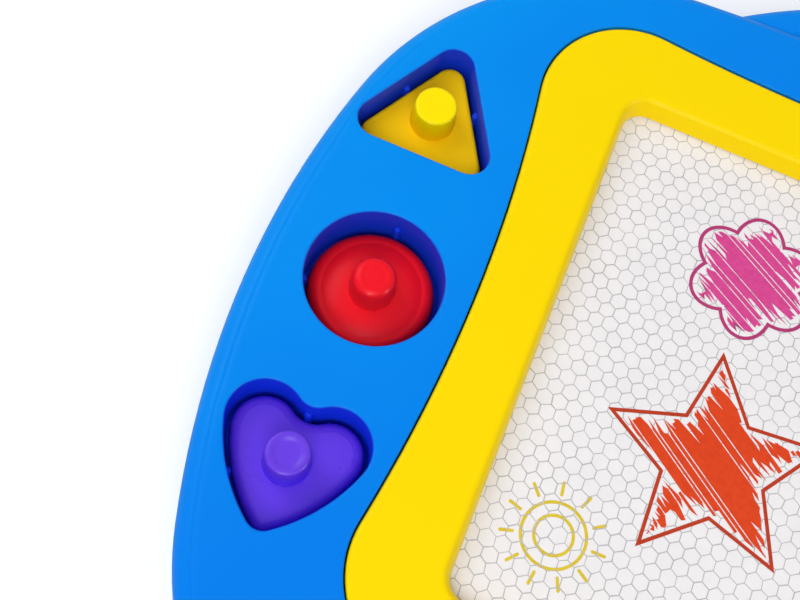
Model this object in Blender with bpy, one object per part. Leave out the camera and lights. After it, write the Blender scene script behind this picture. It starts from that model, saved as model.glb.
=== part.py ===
"""Magnetic drawing board lying on its back: casing, screen, eraser slider, three stamps and a pen.

The board's own drawing is centred on the screen, +X to the right and +Y towards the handle. The
whole model hangs on one empty, which puts the middle of its footprint on the origin at z = 0.
"""
import math

import bmesh
import bpy
from mathutils import Vector
from mathutils.geometry import intersect_line_line_2d

# Fits between pieces
GAP = 0.0003
RUNNING = 0.0006
OVERRUN = 0.003

# Casing outline round the bezel, wells and track: long sides, four corners and crowned ends
TOP_BAND = 0.0234
SIDE_BAND = 0.00995
TRACK_BAND = 0.0129
TRACK_EDGE_BAND = 0.0135
SIDE_CENTRE_Y = -0.0074
SIDE_RADIUS = 0.2205
CORNER_RADIUS = 0.0827
CROWN_RADIUS = 1.3330

# Casing shells
CASING_HEIGHT = 0.0280
PARTING_HEIGHT = 0.0110
SHOULDER_RADIUS = 0.0050
FOOT_RADIUS = 0.0030
WALL = 0.0024
PLATE = 0.0022
LAP_DEPTH = 0.0020
LAP_THICKNESS = 0.0010

# Screen opening and the laminated panel under it
SCREEN_WIDTH = 0.2000
SCREEN_HEIGHT = 0.1388
SCREEN_CORNER = 0.0045
SCREEN_DROP = 0.0065
PANEL_MARGIN = 0.0060
FILM = 0.0005
CORE = 0.0016
LEDGE = 0.0040

# Bezel outline: round corners with drawn-in sides and slightly dipped ends
BEZEL_CORNER_INSET = (0.0004, 0.0035)
BEZEL_CORNER_RADIUS = 0.0242
BEZEL_WAIST = 0.0052
BEZEL_DIP = 0.0025
BEZEL_DIP_RUN = 0.0516
BEZEL_REVEAL = 0.0005
BEZEL_EDGE = 0.0010
BEZEL_SLOPE = 0.0034
BEZEL_RIM = 0.0018

# Stamp wells and stamps
WELL_DEPTH = 0.0158
WELL_WALL = 0.0018
STAMP_CLEARANCE = 0.0012
KNOB_BASE_RADIUS = 0.0062
KNOB_TOP_RADIUS = 0.0055
KNOB_PROUD = 0.0010
KNOB_EDGE = 0.0008
MAGNET_SHEET = 0.0012
MAGNET_RIM = 0.0020
NUB_DROP = 0.0070
NUB_RADIUS = STAMP_CLEARANCE - GAP
UPPER_WELL_GAP = 0.0181
LOWER_WELL_GAP = 0.0159

CIRCLE_Y = -0.0056
CIRCLE_SHIFT = -0.00265
CIRCLE_RADIUS = 0.0175
CIRCLE_KNOB = (0.0, 0.0)
CIRCLE_PLATE = 0.0080
CIRCLE_NUB_ANGLES = (90, 195, 345)

TRIANGLE_SHIFT = 0.00331
TRIANGLE_HALF_BASE = 0.0126
TRIANGLE_LOW = -0.0072
TRIANGLE_HIGH = 0.0148
TRIANGLE_ROUND = 0.0053
TRIANGLE_KNOB = (-0.0002, 0.0017)
TRIANGLE_PLATE = 0.0078
TRIANGLE_NUB_ANGLES = (39, 141, 270)

HEART_SHIFT = 0.00133
HEART_LOBE = (0.0086, 0.0045)
HEART_LOBE_RADIUS = 0.0095
HEART_SIDE_RADIUS = 0.0428
HEART_TIP_Y = -0.0155
HEART_TIP_RADIUS = 0.0045
HEART_NOTCH_Y = 0.0113
HEART_KNOB = (-0.0003, -0.0012)
HEART_PLATE = 0.0064
HEART_NUB_ANGLES = (90, 216, 324)

# Eraser slider: knob, carriage and magnet bar
TRACK_HALF_WIDTH = 0.0125
TRACK_DEPTH = 0.0040
SLIDER_KNOB_HALF = (0.0190, 0.0090)
SLIDER_KNOB_BASE = 0.0025
SLIDER_GRIP_HALF = (0.0140, 0.0038)
SLIDER_GRIP_RISE = 0.0125
SLIDER_GRIP_CROWN = 0.0010
STEM_HALF = (0.0050, 0.0030)
CARRIAGE = 0.0034
CARRIAGE_CLEARANCE = 0.0005
BAR_HALF_WIDTH = 0.0070
BAR_OVERLAP = 0.0110
FOOT_HALF = (0.0270, 0.0100)
KEEL_HALF = (0.0070, 0.0032)
KEEL_X = 0.0185
KEEL_DEPTH = 0.0055
MAGNET_BAR_HALF_WIDTH = 0.0050
MAGNET_BAR_SHORT = 0.0014
MAGNET_BAR = 0.0030
MAGNET_BAR_SEAT = 0.0010
RIB = 0.0016

# Carry handle, an arched bar whose ends are trapped between the shells
HANDLE_RISE = 0.0266
HANDLE_HALF_SPAN = 0.07967
HANDLE_WIDTH = 0.0122
HANDLE_BOTTOM = 0.0050
HANDLE_TOP = 0.0240
HANDLE_ROUND = 0.0040
HANDLE_END = math.radians(8)
TONGUE_INSET = 0.01467
TONGUE_HALF_WIDTH = 0.0080
TONGUE_IN = 0.0165
TONGUE_OUT = 0.0015
TONGUE_THICKNESS = 0.0073

# Pen and its trough
PEN_RADIUS = 0.0065
PEN_BARREL = 0.0880
PEN_NOSE = 0.0180
PEN_NOSE_RADIUS = 0.0034
PEN_WALL = 0.0016
PEN_CAP = 0.0130
PEN_CAP_DOME = 0.0035
PEN_CAP_TIP_RADIUS = 0.0030
PEN_SPIGOT = 0.0100
PEN_NIB_RADIUS = 0.0015
PEN_NIB_OUT = 0.0020
PEN_NIB_IN = 0.0080
TETHER_HOLE_RADIUS = 0.0014
TROUGH_RADIUS = 0.0080
TROUGH_DEPTH = 0.0110
TROUGH_END = 0.0020
TROUGH_ROUND = 0.0045
TROUGH_WALL = 0.0020
SCOOP_RADIUS = 0.0130
SCOOP_DEPTH = 0.0090

# Tether eyelet pressed in above the trough
EYELET_OFFSET = 0.0085
EYELET_INSET = 0.0115
EYELET_FLANGE_RADIUS = 0.0044
EYELET_RADIUS = 0.0030
EYELET_BORE = 0.0018
EYELET_FLANGE = 0.0012
EYELET_LENGTH = 0.0050

# Screws, posts and bosses
SHANK_RADIUS = 0.0013
HEAD_RADIUS = 0.0029
HEAD_HEIGHT = 0.0018
HEAD_ROUND = 0.0006
CASING_SCREW = 0.0190
BEZEL_SCREW = 0.0085
KNOB_SCREW = 0.0090
POST_RADIUS = 0.0040
POST_BOTTOM = 0.0080
POST_INSET = 0.0100
BOSS_RADIUS = 0.0046
BOSS_SEAT = 0.0030
BEZEL_POST_RADIUS = 0.0035
BEZEL_POST_REACH = 0.0160
END_POST_X = 0.0700
CORNER_POST_ANGLE = 53

# Numbers of facets
CORNER_STEPS = 10
SIDE_STEPS = 8
END_STEPS = 6
END_ARC_STEPS = 4
ROUND_STEPS = 3
CIRCLE_STEPS = 28
KNOB_STEPS = 20
POST_STEPS = 12
SCREW_STEPS = 8
PANEL_STEPS = 3
HANDLE_STEPS = 16
SMOOTH_ANGLE = math.radians(35)

# Heights that follow from the values above
SCREEN_Z = CASING_HEIGHT - SCREEN_DROP
CORE_TOP_Z = SCREEN_Z - FILM - GAP
BACK_FILM_TOP_Z = CORE_TOP_Z - CORE - GAP
LEDGE_Z = BACK_FILM_TOP_Z - FILM - GAP
LEDGE_LOW_Z = LEDGE_Z - PLATE
CARRIAGE_TOP_Z = LEDGE_LOW_Z - CARRIAGE_CLEARANCE
CARRIAGE_LOW_Z = CARRIAGE_TOP_Z - CARRIAGE
WELL_FLOOR_Z = CASING_HEIGHT - WELL_DEPTH
STAMP_Z = WELL_FLOOR_Z + GAP
TRACK_Z = CASING_HEIGHT - TRACK_DEPTH
TROUGH_Z = CASING_HEIGHT - TROUGH_DEPTH
SCOOP_Z = CASING_HEIGHT - SCOOP_DEPTH
TONGUE_BOTTOM_Z = POST_BOTTOM
PLATE_MID_Z = CASING_HEIGHT - PLATE / 2
SHANK_HOLE = SHANK_RADIUS + GAP

# Bezel and casing, which follow outwards from the screen opening
OPENING_HALF = (SCREEN_WIDTH / 2, SCREEN_HEIGHT / 2)
BEZEL_CORNER_X = OPENING_HALF[0] - BEZEL_CORNER_INSET[0]
BEZEL_CORNER_Y = OPENING_HALF[1] - BEZEL_CORNER_INSET[1]
BEZEL_DIP_X = BEZEL_CORNER_X - BEZEL_DIP_RUN
BEZEL_WAIST_X = BEZEL_CORNER_X + BEZEL_CORNER_RADIUS - BEZEL_WAIST
BEZEL_CHANNEL_X = OPENING_HALF[0] + BEZEL_SLOPE + BEZEL_RIM
BEZEL_END_Y = BEZEL_CORNER_Y + BEZEL_CORNER_RADIUS - BEZEL_DIP
HALF_WIDTH = BEZEL_WAIST_X + 2 * (CIRCLE_RADIUS + SIDE_BAND)
TOP_EDGE = BEZEL_END_Y + TOP_BAND
TRACK_Y = -BEZEL_END_Y - TRACK_BAND - TRACK_HALF_WIDTH
BOTTOM_EDGE = TRACK_HALF_WIDTH + TRACK_EDGE_BAND - TRACK_Y

# Eraser, pen and handle
SLIDER_X = OPENING_HALF[0] - BAR_HALF_WIDTH
BAR_TOP_Y = OPENING_HALF[1] + BAR_OVERLAP
PEN_LENGTH = PEN_NOSE + PEN_BARREL + PEN_CAP + PEN_CAP_DOME
PEN_X = (BEZEL_WAIST_X + HALF_WIDTH) / 2
PEN_Z = TROUGH_Z + GAP + PEN_RADIUS
PEN_TAIL_Y = SIDE_CENTRE_Y + PEN_LENGTH / 2
TROUGH_HALF = PEN_LENGTH / 2 + PEN_NIB_OUT + TROUGH_END
EYELET_Y = SIDE_CENTRE_Y + TROUGH_HALF + TROUGH_WALL + EYELET_OFFSET
HANDLE_RADIUS = (HANDLE_HALF_SPAN ** 2 + HANDLE_RISE ** 2) / (2 * HANDLE_RISE)
HANDLE_CENTRE_Y = TOP_EDGE + HANDLE_RISE - HANDLE_RADIUS
HANDLE_SPREAD = math.asin(HANDLE_HALF_SPAN / HANDLE_RADIUS) + HANDLE_END
TONGUE_X = HANDLE_HALF_SPAN - TONGUE_INSET
BASE_MIDDLE_Y = (TOP_EDGE + HANDLE_RISE - BOTTOM_EDGE) / 2


def well_centre(y, shift):
    """Centre of a well midway between the bezel's waist and the casing's left side, and a shift."""
    side = HALF_WIDTH - SIDE_RADIUS + math.sqrt(SIDE_RADIUS ** 2 - (y - SIDE_CENTRE_Y) ** 2)
    return (-(BEZEL_WAIST_X + side) / 2 - shift, y)


# Wells, one above and one below the circle
TRIANGLE_Y = CIRCLE_Y + CIRCLE_RADIUS + UPPER_WELL_GAP + TRIANGLE_ROUND - TRIANGLE_LOW
HEART_Y = CIRCLE_Y - CIRCLE_RADIUS - LOWER_WELL_GAP - HEART_LOBE[1] - HEART_LOBE_RADIUS
CIRCLE_CENTRE = well_centre(CIRCLE_Y, CIRCLE_SHIFT)
TRIANGLE_CENTRE = well_centre(TRIANGLE_Y, TRIANGLE_SHIFT)
HEART_CENTRE = well_centre(HEART_Y, HEART_SHIFT)


def heading(start, end):
    """Angle of the direction from one point to another."""
    return math.atan2(end[1] - start[1], end[0] - start[0])


def arc(centre, radius, start, end, steps):
    """Points along an arc, without its last one."""
    turn = (end - start) / steps
    return [(centre[0] + radius * math.cos(start + turn * i),
             centre[1] + radius * math.sin(start + turn * i)) for i in range(steps)]


def circle(radius, steps=CIRCLE_STEPS, centre=(0.0, 0.0)):
    """Closed circle."""
    return arc(centre, radius, 0.0, 2 * math.pi, steps)


def run(start, end, steps):
    """Points along a straight line, without its last one."""
    return [(start[0] + (end[0] - start[0]) * i / steps,
             start[1] + (end[1] - start[1]) * i / steps) for i in range(steps)]


def moved(outline, centre):
    """Outline moved to a centre."""
    return [(x + centre[0], y + centre[1]) for x, y in outline]


def mirrored(right):
    """Closed outline from its right half, which runs from the lower to the upper middle."""
    return right + [(-x, y) for x, y in reversed(right[1:-1])]


def four_fold(quarter):
    """Closed outline from its upper right quarter, which starts on the X axis."""
    lower = [(x, -y) for x, y in reversed(quarter)]
    return mirrored(lower + quarter[1:])


def wall_point(outline, degrees):
    """Point where a ray from an outline's centre meets the outline."""
    angle = math.radians(degrees)
    far = (HALF_WIDTH * math.cos(angle), HALF_WIDTH * math.sin(angle))
    sides = zip(outline, outline[1:] + outline[:1])
    meetings = [intersect_line_line_2d((0.0, 0.0), far, start, end) for start, end in sides]
    return next(tuple(point) for point in meetings if point is not None)


def circles_meet(first, first_radius, second, second_radius, pick=max):
    """Meeting point of two circles, the right-hand one unless the pick is the least."""
    between = Vector(second) - Vector(first)
    span = between.length
    along = (first_radius ** 2 - second_radius ** 2 + span ** 2) / (2 * span)
    across = math.sqrt(first_radius ** 2 - along ** 2)
    foot = Vector(first) + between * (along / span)
    side = Vector((between.y, -between.x)) * (across / span)
    return pick(foot + side, foot - side, key=lambda point: point.x)


def casing_corners():
    """Centres of the casing's arcs: side, upper crown, lower crown, upper and lower corner."""
    side = (HALF_WIDTH - SIDE_RADIUS, SIDE_CENTRE_Y)
    upper = (0.0, TOP_EDGE - CROWN_RADIUS)
    lower = (0.0, CROWN_RADIUS - BOTTOM_EDGE)
    reach = SIDE_RADIUS - CORNER_RADIUS
    crown_reach = CROWN_RADIUS - CORNER_RADIUS
    return (side, upper, lower, circles_meet(side, reach, upper, crown_reach),
            circles_meet(side, reach, lower, crown_reach))


def casing_outline(inset=0.0):
    """Outline of the casing, moved inwards by inset."""
    side, upper, lower, high, low = casing_corners()
    right = arc(lower, CROWN_RADIUS - inset, -math.pi / 2, heading(lower, low), END_STEPS)
    corner = CORNER_RADIUS - inset
    right += arc(low, corner, heading(lower, low), heading(side, low), CORNER_STEPS)
    right += arc(side, SIDE_RADIUS - inset, heading(side, low), heading(side, high), SIDE_STEPS)
    right += arc(high, corner, heading(side, high), heading(upper, high), CORNER_STEPS)
    right += arc(upper, CROWN_RADIUS - inset, heading(upper, high), math.pi / 2, END_STEPS)
    return mirrored(right + [(0.0, TOP_EDGE - inset)])


def bezel_outline(grow=0.0):
    """Outline of the bezel, moved outwards by grow."""
    corner = (BEZEL_CORNER_X, BEZEL_CORNER_Y)
    reach = BEZEL_CORNER_RADIUS - BEZEL_WAIST
    side_radius = (reach ** 2 + BEZEL_CORNER_Y ** 2 - BEZEL_CORNER_RADIUS ** 2) / (2 * BEZEL_WAIST)
    side = (BEZEL_CORNER_X + reach + side_radius, 0.0)
    rise = BEZEL_CORNER_RADIUS - BEZEL_DIP
    across = BEZEL_CORNER_X - BEZEL_DIP_X
    end_radius = (across ** 2 + rise ** 2 - BEZEL_CORNER_RADIUS ** 2) / (2 * BEZEL_DIP)
    end = (BEZEL_DIP_X, BEZEL_CORNER_Y + rise + end_radius)
    end_y = BEZEL_CORNER_Y + rise + grow
    to_side, to_end = heading(corner, side), heading(corner, end)
    quarter = arc(side, side_radius - grow, math.pi, to_side + math.pi, SIDE_STEPS // 2)
    quarter += arc(corner, BEZEL_CORNER_RADIUS + grow, to_side, to_end, CORNER_STEPS)
    quarter += arc(end, end_radius - grow, to_end - math.pi, -math.pi / 2, END_ARC_STEPS)
    quarter += run((BEZEL_DIP_X, end_y), (0.0, end_y), END_STEPS - END_ARC_STEPS)
    return four_fold(quarter + [(0.0, end_y)])


def screen_outline(grow=0.0):
    """Rounded rectangle of the screen opening, moved outwards by grow."""
    half_x = OPENING_HALF[0] + grow
    half_y = OPENING_HALF[1] + grow
    radius = SCREEN_CORNER + max(grow, 0.0)
    quarter = run((half_x, 0.0), (half_x, half_y - radius), SIDE_STEPS // 2)
    quarter += arc((half_x - radius, half_y - radius), radius, 0.0, math.pi / 2, CORNER_STEPS)
    quarter += run((half_x - radius, half_y), (0.0, half_y), END_STEPS)
    return four_fold(quarter + [(0.0, half_y)])


def stadium(half_x, half_y, steps=CORNER_STEPS):
    """Round-ended slot along X."""
    ends = half_x - half_y
    right = arc((ends, 0.0), half_y, -math.pi / 2, math.pi / 2, steps) + [(ends, half_y)]
    return right + [(-x, -y) for x, y in right]


def panel_outline():
    """Rounded rectangle of the panel's sheets."""
    half_x = OPENING_HALF[0] + PANEL_MARGIN
    half_y = OPENING_HALF[1] + PANEL_MARGIN
    radius = SCREEN_CORNER + PANEL_MARGIN
    corner = arc((half_x - radius, half_y - radius), radius, 0.0, math.pi / 2, PANEL_STEPS)
    return four_fold([(half_x, 0.0)] + corner + [(half_x - radius, half_y), (0.0, half_y)])


def rectangle(half_x, half_y):
    """Plain rectangle."""
    return [(-half_x, -half_y), (half_x, -half_y), (half_x, half_y), (-half_x, half_y)]


def circle_outline(grow=0.0):
    """Outline of the circle well."""
    return circle(CIRCLE_RADIUS + grow)


def triangle_outline(grow=0.0):
    """Outline of the triangle well, about its own centre."""
    radius = TRIANGLE_ROUND + grow
    lean = math.atan2(TRIANGLE_HALF_BASE, TRIANGLE_HIGH - TRIANGLE_LOW)
    steps = CORNER_STEPS // 2
    right = arc((TRIANGLE_HALF_BASE, TRIANGLE_LOW), radius, -math.pi / 2, lean, steps)
    right += arc((TRIANGLE_HALF_BASE, TRIANGLE_LOW), radius, lean, lean + math.pi, 1)
    right += arc((0.0, TRIANGLE_HIGH), radius, lean, math.pi / 2, steps)
    return mirrored([(0.0, TRIANGLE_LOW - radius)] + right + [(0.0, TRIANGLE_HIGH + radius)])


def heart_outline(grow=0.0):
    """Outline of the heart well, about its own centre, with its point down."""
    tip = (0.0, HEART_TIP_Y)
    rise = HEART_NOTCH_Y - HEART_LOBE[1]
    spread = HEART_LOBE[0] ** 2 + rise ** 2 - HEART_LOBE_RADIUS ** 2
    fillet = spread / (2 * (HEART_LOBE_RADIUS - rise))
    notch = (0.0, HEART_NOTCH_Y + fillet)
    side = circles_meet(tip, HEART_SIDE_RADIUS - HEART_TIP_RADIUS, HEART_LOBE,
                        HEART_SIDE_RADIUS - HEART_LOBE_RADIUS, pick=min)
    low, high = heading(side, tip), heading(side, HEART_LOBE)
    steps = CORNER_STEPS // 2
    right = arc(tip, HEART_TIP_RADIUS + grow, -math.pi / 2, low, steps)
    right += arc(side, HEART_SIDE_RADIUS + grow, low, high, steps)
    right += arc(HEART_LOBE, HEART_LOBE_RADIUS + grow, high, heading(HEART_LOBE, notch), CORNER_STEPS)
    right += arc(notch, fillet - grow, heading(notch, HEART_LOBE), -math.pi / 2, steps)
    return mirrored(right + [(0.0, HEART_NOTCH_Y + grow)])


def level(outline, height):
    """Ring of points at a height."""
    return [(x, y, height) for x, y in outline]


def material(name, colour, roughness, metallic=0.0):
    """Principled material in one colour."""
    found = bpy.data.materials.new(name)
    found.use_nodes = True
    shader = found.node_tree.nodes["Principled BSDF"]
    shader.inputs["Base Color"].default_value = (*colour, 1.0)
    shader.inputs["Roughness"].default_value = roughness
    shader.inputs["Metallic"].default_value = metallic
    return found


def skin(rings, closed=False):
    """Geometry through rings of equal length, capped at both ends or closed on itself."""
    shape = bmesh.new()
    loops = [[shape.verts.new(point) for point in ring] for ring in rings]
    following = loops[1:] + (loops[:1] if closed else [])
    for low, high in zip(loops, following):
        for i, start in enumerate(low):
            after = (i + 1) % len(low)
            shape.faces.new((start, low[after], high[after], high[i]))
    if not closed:
        shape.faces.new(loops[0])
        shape.faces.new(loops[-1])
    bmesh.ops.recalc_face_normals(shape, faces=shape.faces)
    return shape


def slab(outline, low, high):
    """Upright prism of an outline."""
    return skin([level(outline, low), level(outline, high)])


def joined(shapes):
    """One geometry holding several separate ones."""
    whole = bmesh.new()
    for shape in shapes:
        part = bpy.data.meshes.new("part")
        shape.to_mesh(part)
        shape.free()
        whole.from_mesh(part)
        bpy.data.meshes.remove(part)
    return whole


def piece(name, shape, finish, place=(0.0, 0.0, 0.0)):
    """Object made of a geometry, hung on the board's empty."""
    mesh = bpy.data.meshes.new(name)
    shape.to_mesh(mesh)
    shape.free()
    mesh.materials.append(finish)
    made = bpy.data.objects.new(name, mesh)
    made.location = place
    made.parent = BOARD
    bpy.context.scene.collection.objects.link(made)
    return made


def cutter(name, shape, place=(0.0, 0.0, 0.0)):
    """Guide object for a Boolean."""
    made = piece(name, shape, GUIDE, place)
    made.hide_render = True
    made.display_type = "WIRE"
    return made


def combine(target, operation, guide):
    """Boolean of a piece and a guide, which is used up."""
    change = target.modifiers.new(guide.name, "BOOLEAN")
    change.operation = operation
    change.object = guide
    result = target.evaluated_get(bpy.context.evaluated_depsgraph_get())
    target.data = bpy.data.meshes.new_from_object(result)
    target.modifiers.clear()
    bpy.data.objects.remove(guide)


def shade(made):
    """Smooth shading but for the sharp edges, with the large faces kept flat."""
    made.data.shade_smooth()
    made.data.set_sharp_from_angle(angle=SMOOTH_ANGLE)
    made.modifiers.new("even_shading", "WEIGHTED_NORMAL").keep_sharp = True


def casing_posts():
    """Places of the screws that hold the two shells together, on both sides."""
    upper_y = CIRCLE_Y + CIRCLE_RADIUS + UPPER_WELL_GAP / 2
    lower_y = CIRCLE_Y - CIRCLE_RADIUS - LOWER_WELL_GAP / 2
    side, upper, lower, high, low = casing_corners()
    reach = CORNER_RADIUS - POST_INSET
    diagonal = math.radians(CORNER_POST_ANGLE)
    across = SIDE_RADIUS - POST_INSET
    right = [(side[0] + math.sqrt(across ** 2 - (y - side[1]) ** 2), y) for y in (upper_y, lower_y)]
    right += [(high[0] + reach * math.cos(diagonal), high[1] + reach * math.sin(diagonal))]
    right += [(low[0] + reach * math.cos(diagonal), low[1] - reach * math.sin(diagonal))]
    end_inset = WALL + POST_RADIUS + RIB
    right += [(TONGUE_X, TOP_EDGE - crown_drop(TONGUE_X) - end_inset)]
    right += [(END_POST_X, crown_drop(END_POST_X) - BOTTOM_EDGE + end_inset)]
    return right + [(-x, y) for x, y in right]


def crown_drop(x):
    """How far the casing's crowned ends have fallen back at x."""
    return CROWN_RADIUS - math.sqrt(CROWN_RADIUS ** 2 - x ** 2)


def eyelet_place():
    """Place of the tether's eyelet, inside the casing's upper right corner."""
    corner = casing_corners()[3]
    edge = corner[0] + math.sqrt(CORNER_RADIUS ** 2 - (EYELET_Y - corner[1]) ** 2)
    return (edge - EYELET_INSET, EYELET_Y)


def bezel_posts():
    """Places of the screws that hold the bezel, in its corners and at its sides."""
    corner = BEZEL_POST_REACH * math.sqrt(0.5)
    side_x = (BEZEL_CHANNEL_X + BEZEL_WAIST_X - WALL) / 2
    right = [(BEZEL_CORNER_X + corner, BEZEL_CORNER_Y + corner), (side_x, 0.0),
             (BEZEL_CORNER_X + corner, -BEZEL_CORNER_Y - corner)]
    return right + [(-x, y) for x, y in right]


def posts(places, radius, low, high, steps=POST_STEPS):
    """Round columns at several places."""
    return joined([slab(circle(radius, steps, place), low, high) for place in places])


def tongues(clearance, low_y, high_y, low, high):
    """Blocks for the two tongues of the handle."""
    outline = rectangle(TONGUE_HALF_WIDTH + clearance, (high_y - low_y) / 2)
    middle = (low_y + high_y) / 2
    return joined([slab(moved(outline, (x, middle)), low, high) for x in (-TONGUE_X, TONGUE_X)])


def notches(low, high):
    """Gaps in a shell's wall for the tongues of the handle."""
    inner = TOP_EDGE - crown_drop(TONGUE_X + TONGUE_HALF_WIDTH) - WALL - GAP
    return tongues(GAP, inner, TOP_EDGE + OVERRUN, low, high)


def wells(grow, low, high):
    """Solids that fill the three stamp wells."""
    shapes = ((circle_outline, CIRCLE_CENTRE), (triangle_outline, TRIANGLE_CENTRE),
              (heart_outline, HEART_CENTRE))
    return [slab(moved(outline(grow), centre), low, high) for outline, centre in shapes]


def nubs():
    """Grip nubs on the walls of the wells."""
    places = []
    for outline, centre, angles in ((circle_outline(), CIRCLE_CENTRE, CIRCLE_NUB_ANGLES),
                                    (triangle_outline(), TRIANGLE_CENTRE, TRIANGLE_NUB_ANGLES),
                                    (heart_outline(), HEART_CENTRE, HEART_NUB_ANGLES)):
        places += moved([wall_point(outline, degrees) for degrees in angles], centre)
    return posts(places, NUB_RADIUS, WELL_FLOOR_Z - PLATE / 2, CASING_HEIGHT - NUB_DROP)


def trough(grow, low, high, round_off):
    """Solid that fills the pen's trough, rounded along its floor."""
    rings = []
    for i in range(ROUND_STEPS + 1):
        turn = math.pi / 2 * i / ROUND_STEPS
        inset = round_off * (1 - math.sin(turn))
        outline = stadium(TROUGH_HALF + grow - inset, TROUGH_RADIUS + grow - inset)
        upright = [(PEN_X - y, SIDE_CENTRE_Y + x) for x, y in outline]
        rings.append(level(upright, low + round_off * (1 - math.cos(turn))))
    return skin(rings + [level(upright, high)])


def shoulder():
    """Rings of the casing's round shoulder, from the top face outwards and down."""
    rings = []
    for i in range(ROUND_STEPS + 1):
        turn = math.pi / 2 * i / ROUND_STEPS
        inset = SHOULDER_RADIUS * (1 - math.sin(turn))
        drop = SHOULDER_RADIUS * (1 - math.cos(turn))
        rings.append(level(casing_outline(inset), CASING_HEIGHT - drop))
    return rings


def front_casing():
    """Front shell with the bezel's recess, stamp wells, pen trough and slider track."""
    window = screen_outline(PANEL_MARGIN - LEDGE)
    recess = bezel_outline(BEZEL_REVEAL)
    recess_back = bezel_outline(BEZEL_REVEAL + PLATE)
    tongue_inset = LAP_THICKNESS + GAP
    rings = [level(window, LEDGE_Z), level(recess, LEDGE_Z), level(recess, CASING_HEIGHT)]
    rings += shoulder()
    rings += [level(casing_outline(), PARTING_HEIGHT)]
    rings += [level(casing_outline(tongue_inset), z) for z in (PARTING_HEIGHT, PARTING_HEIGHT - LAP_DEPTH)]
    rings += [level(casing_outline(WALL), z) for z in (PARTING_HEIGHT - LAP_DEPTH, CASING_HEIGHT - PLATE)]
    rings += [level(recess_back, z) for z in (CASING_HEIGHT - PLATE, LEDGE_LOW_Z)]
    rings += [level(window, LEDGE_LOW_Z)]
    shell = piece("front_casing", skin(rings, closed=True), BLUE)
    track_half = SLIDER_X + SLIDER_KNOB_HALF[0] + RUNNING + TRACK_HALF_WIDTH - SLIDER_KNOB_HALF[1]
    high = CASING_HEIGHT + OVERRUN
    cups = wells(WELL_WALL, WELL_FLOOR_Z - PLATE, PLATE_MID_Z)
    cups.append(trough(TROUGH_WALL, TROUGH_Z - TROUGH_WALL, PLATE_MID_Z, TROUGH_ROUND))
    track = stadium(track_half + WALL, TRACK_HALF_WIDTH + WALL)
    cups.append(slab(moved(track, (0.0, TRACK_Y)), TRACK_Z - PLATE, PLATE_MID_Z))
    combine(shell, "UNION", cutter("casing_cups", joined(cups)))
    scoop = [(PEN_X, SIDE_CENTRE_Y)]
    scoop_cup = posts(scoop, SCOOP_RADIUS + TROUGH_WALL, SCOOP_Z - TROUGH_WALL, PLATE_MID_Z, KNOB_STEPS)
    columns = joined([posts(casing_posts(), POST_RADIUS, POST_BOTTOM, PLATE_MID_Z), scoop_cup])
    combine(shell, "UNION", cutter("casing_columns", columns))
    hollows = wells(0.0, WELL_FLOOR_Z, high)
    hollows.append(trough(0.0, TROUGH_Z, high, TROUGH_ROUND))
    hollows.append(slab(moved(stadium(track_half, TRACK_HALF_WIDTH), (0.0, TRACK_Y)), TRACK_Z, high))
    combine(shell, "DIFFERENCE", cutter("casing_hollows", joined(hollows)))
    combine(shell, "UNION", cutter("casing_nubs", nubs()))
    slot = stadium(SLIDER_X + STEM_HALF[0] + RUNNING + GAP, STEM_HALF[1] + RUNNING)
    holes = [slab(moved(slot, (0.0, TRACK_Y)), TRACK_Z - PLATE - OVERRUN, TRACK_Z + OVERRUN / 2)]
    holes.append(posts(scoop, SCOOP_RADIUS, SCOOP_Z, high, KNOB_STEPS))
    screw_end = BOSS_SEAT + CASING_SCREW + GAP
    holes.append(posts(casing_posts(), SHANK_HOLE, POST_BOTTOM - OVERRUN, screw_end, SCREW_STEPS))
    holes.append(posts(bezel_posts(), SHANK_HOLE, LEDGE_LOW_Z - OVERRUN, LEDGE_Z + OVERRUN, SCREW_STEPS))
    holes.append(posts([eyelet_place()], EYELET_RADIUS + GAP, PLATE_MID_Z - OVERRUN, high, KNOB_STEPS))
    holes.append(notches(PARTING_HEIGHT - LAP_DEPTH - OVERRUN, TONGUE_BOTTOM_Z + TONGUE_THICKNESS + GAP))
    combine(shell, "DIFFERENCE", cutter("casing_holes", joined(holes)))


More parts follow.
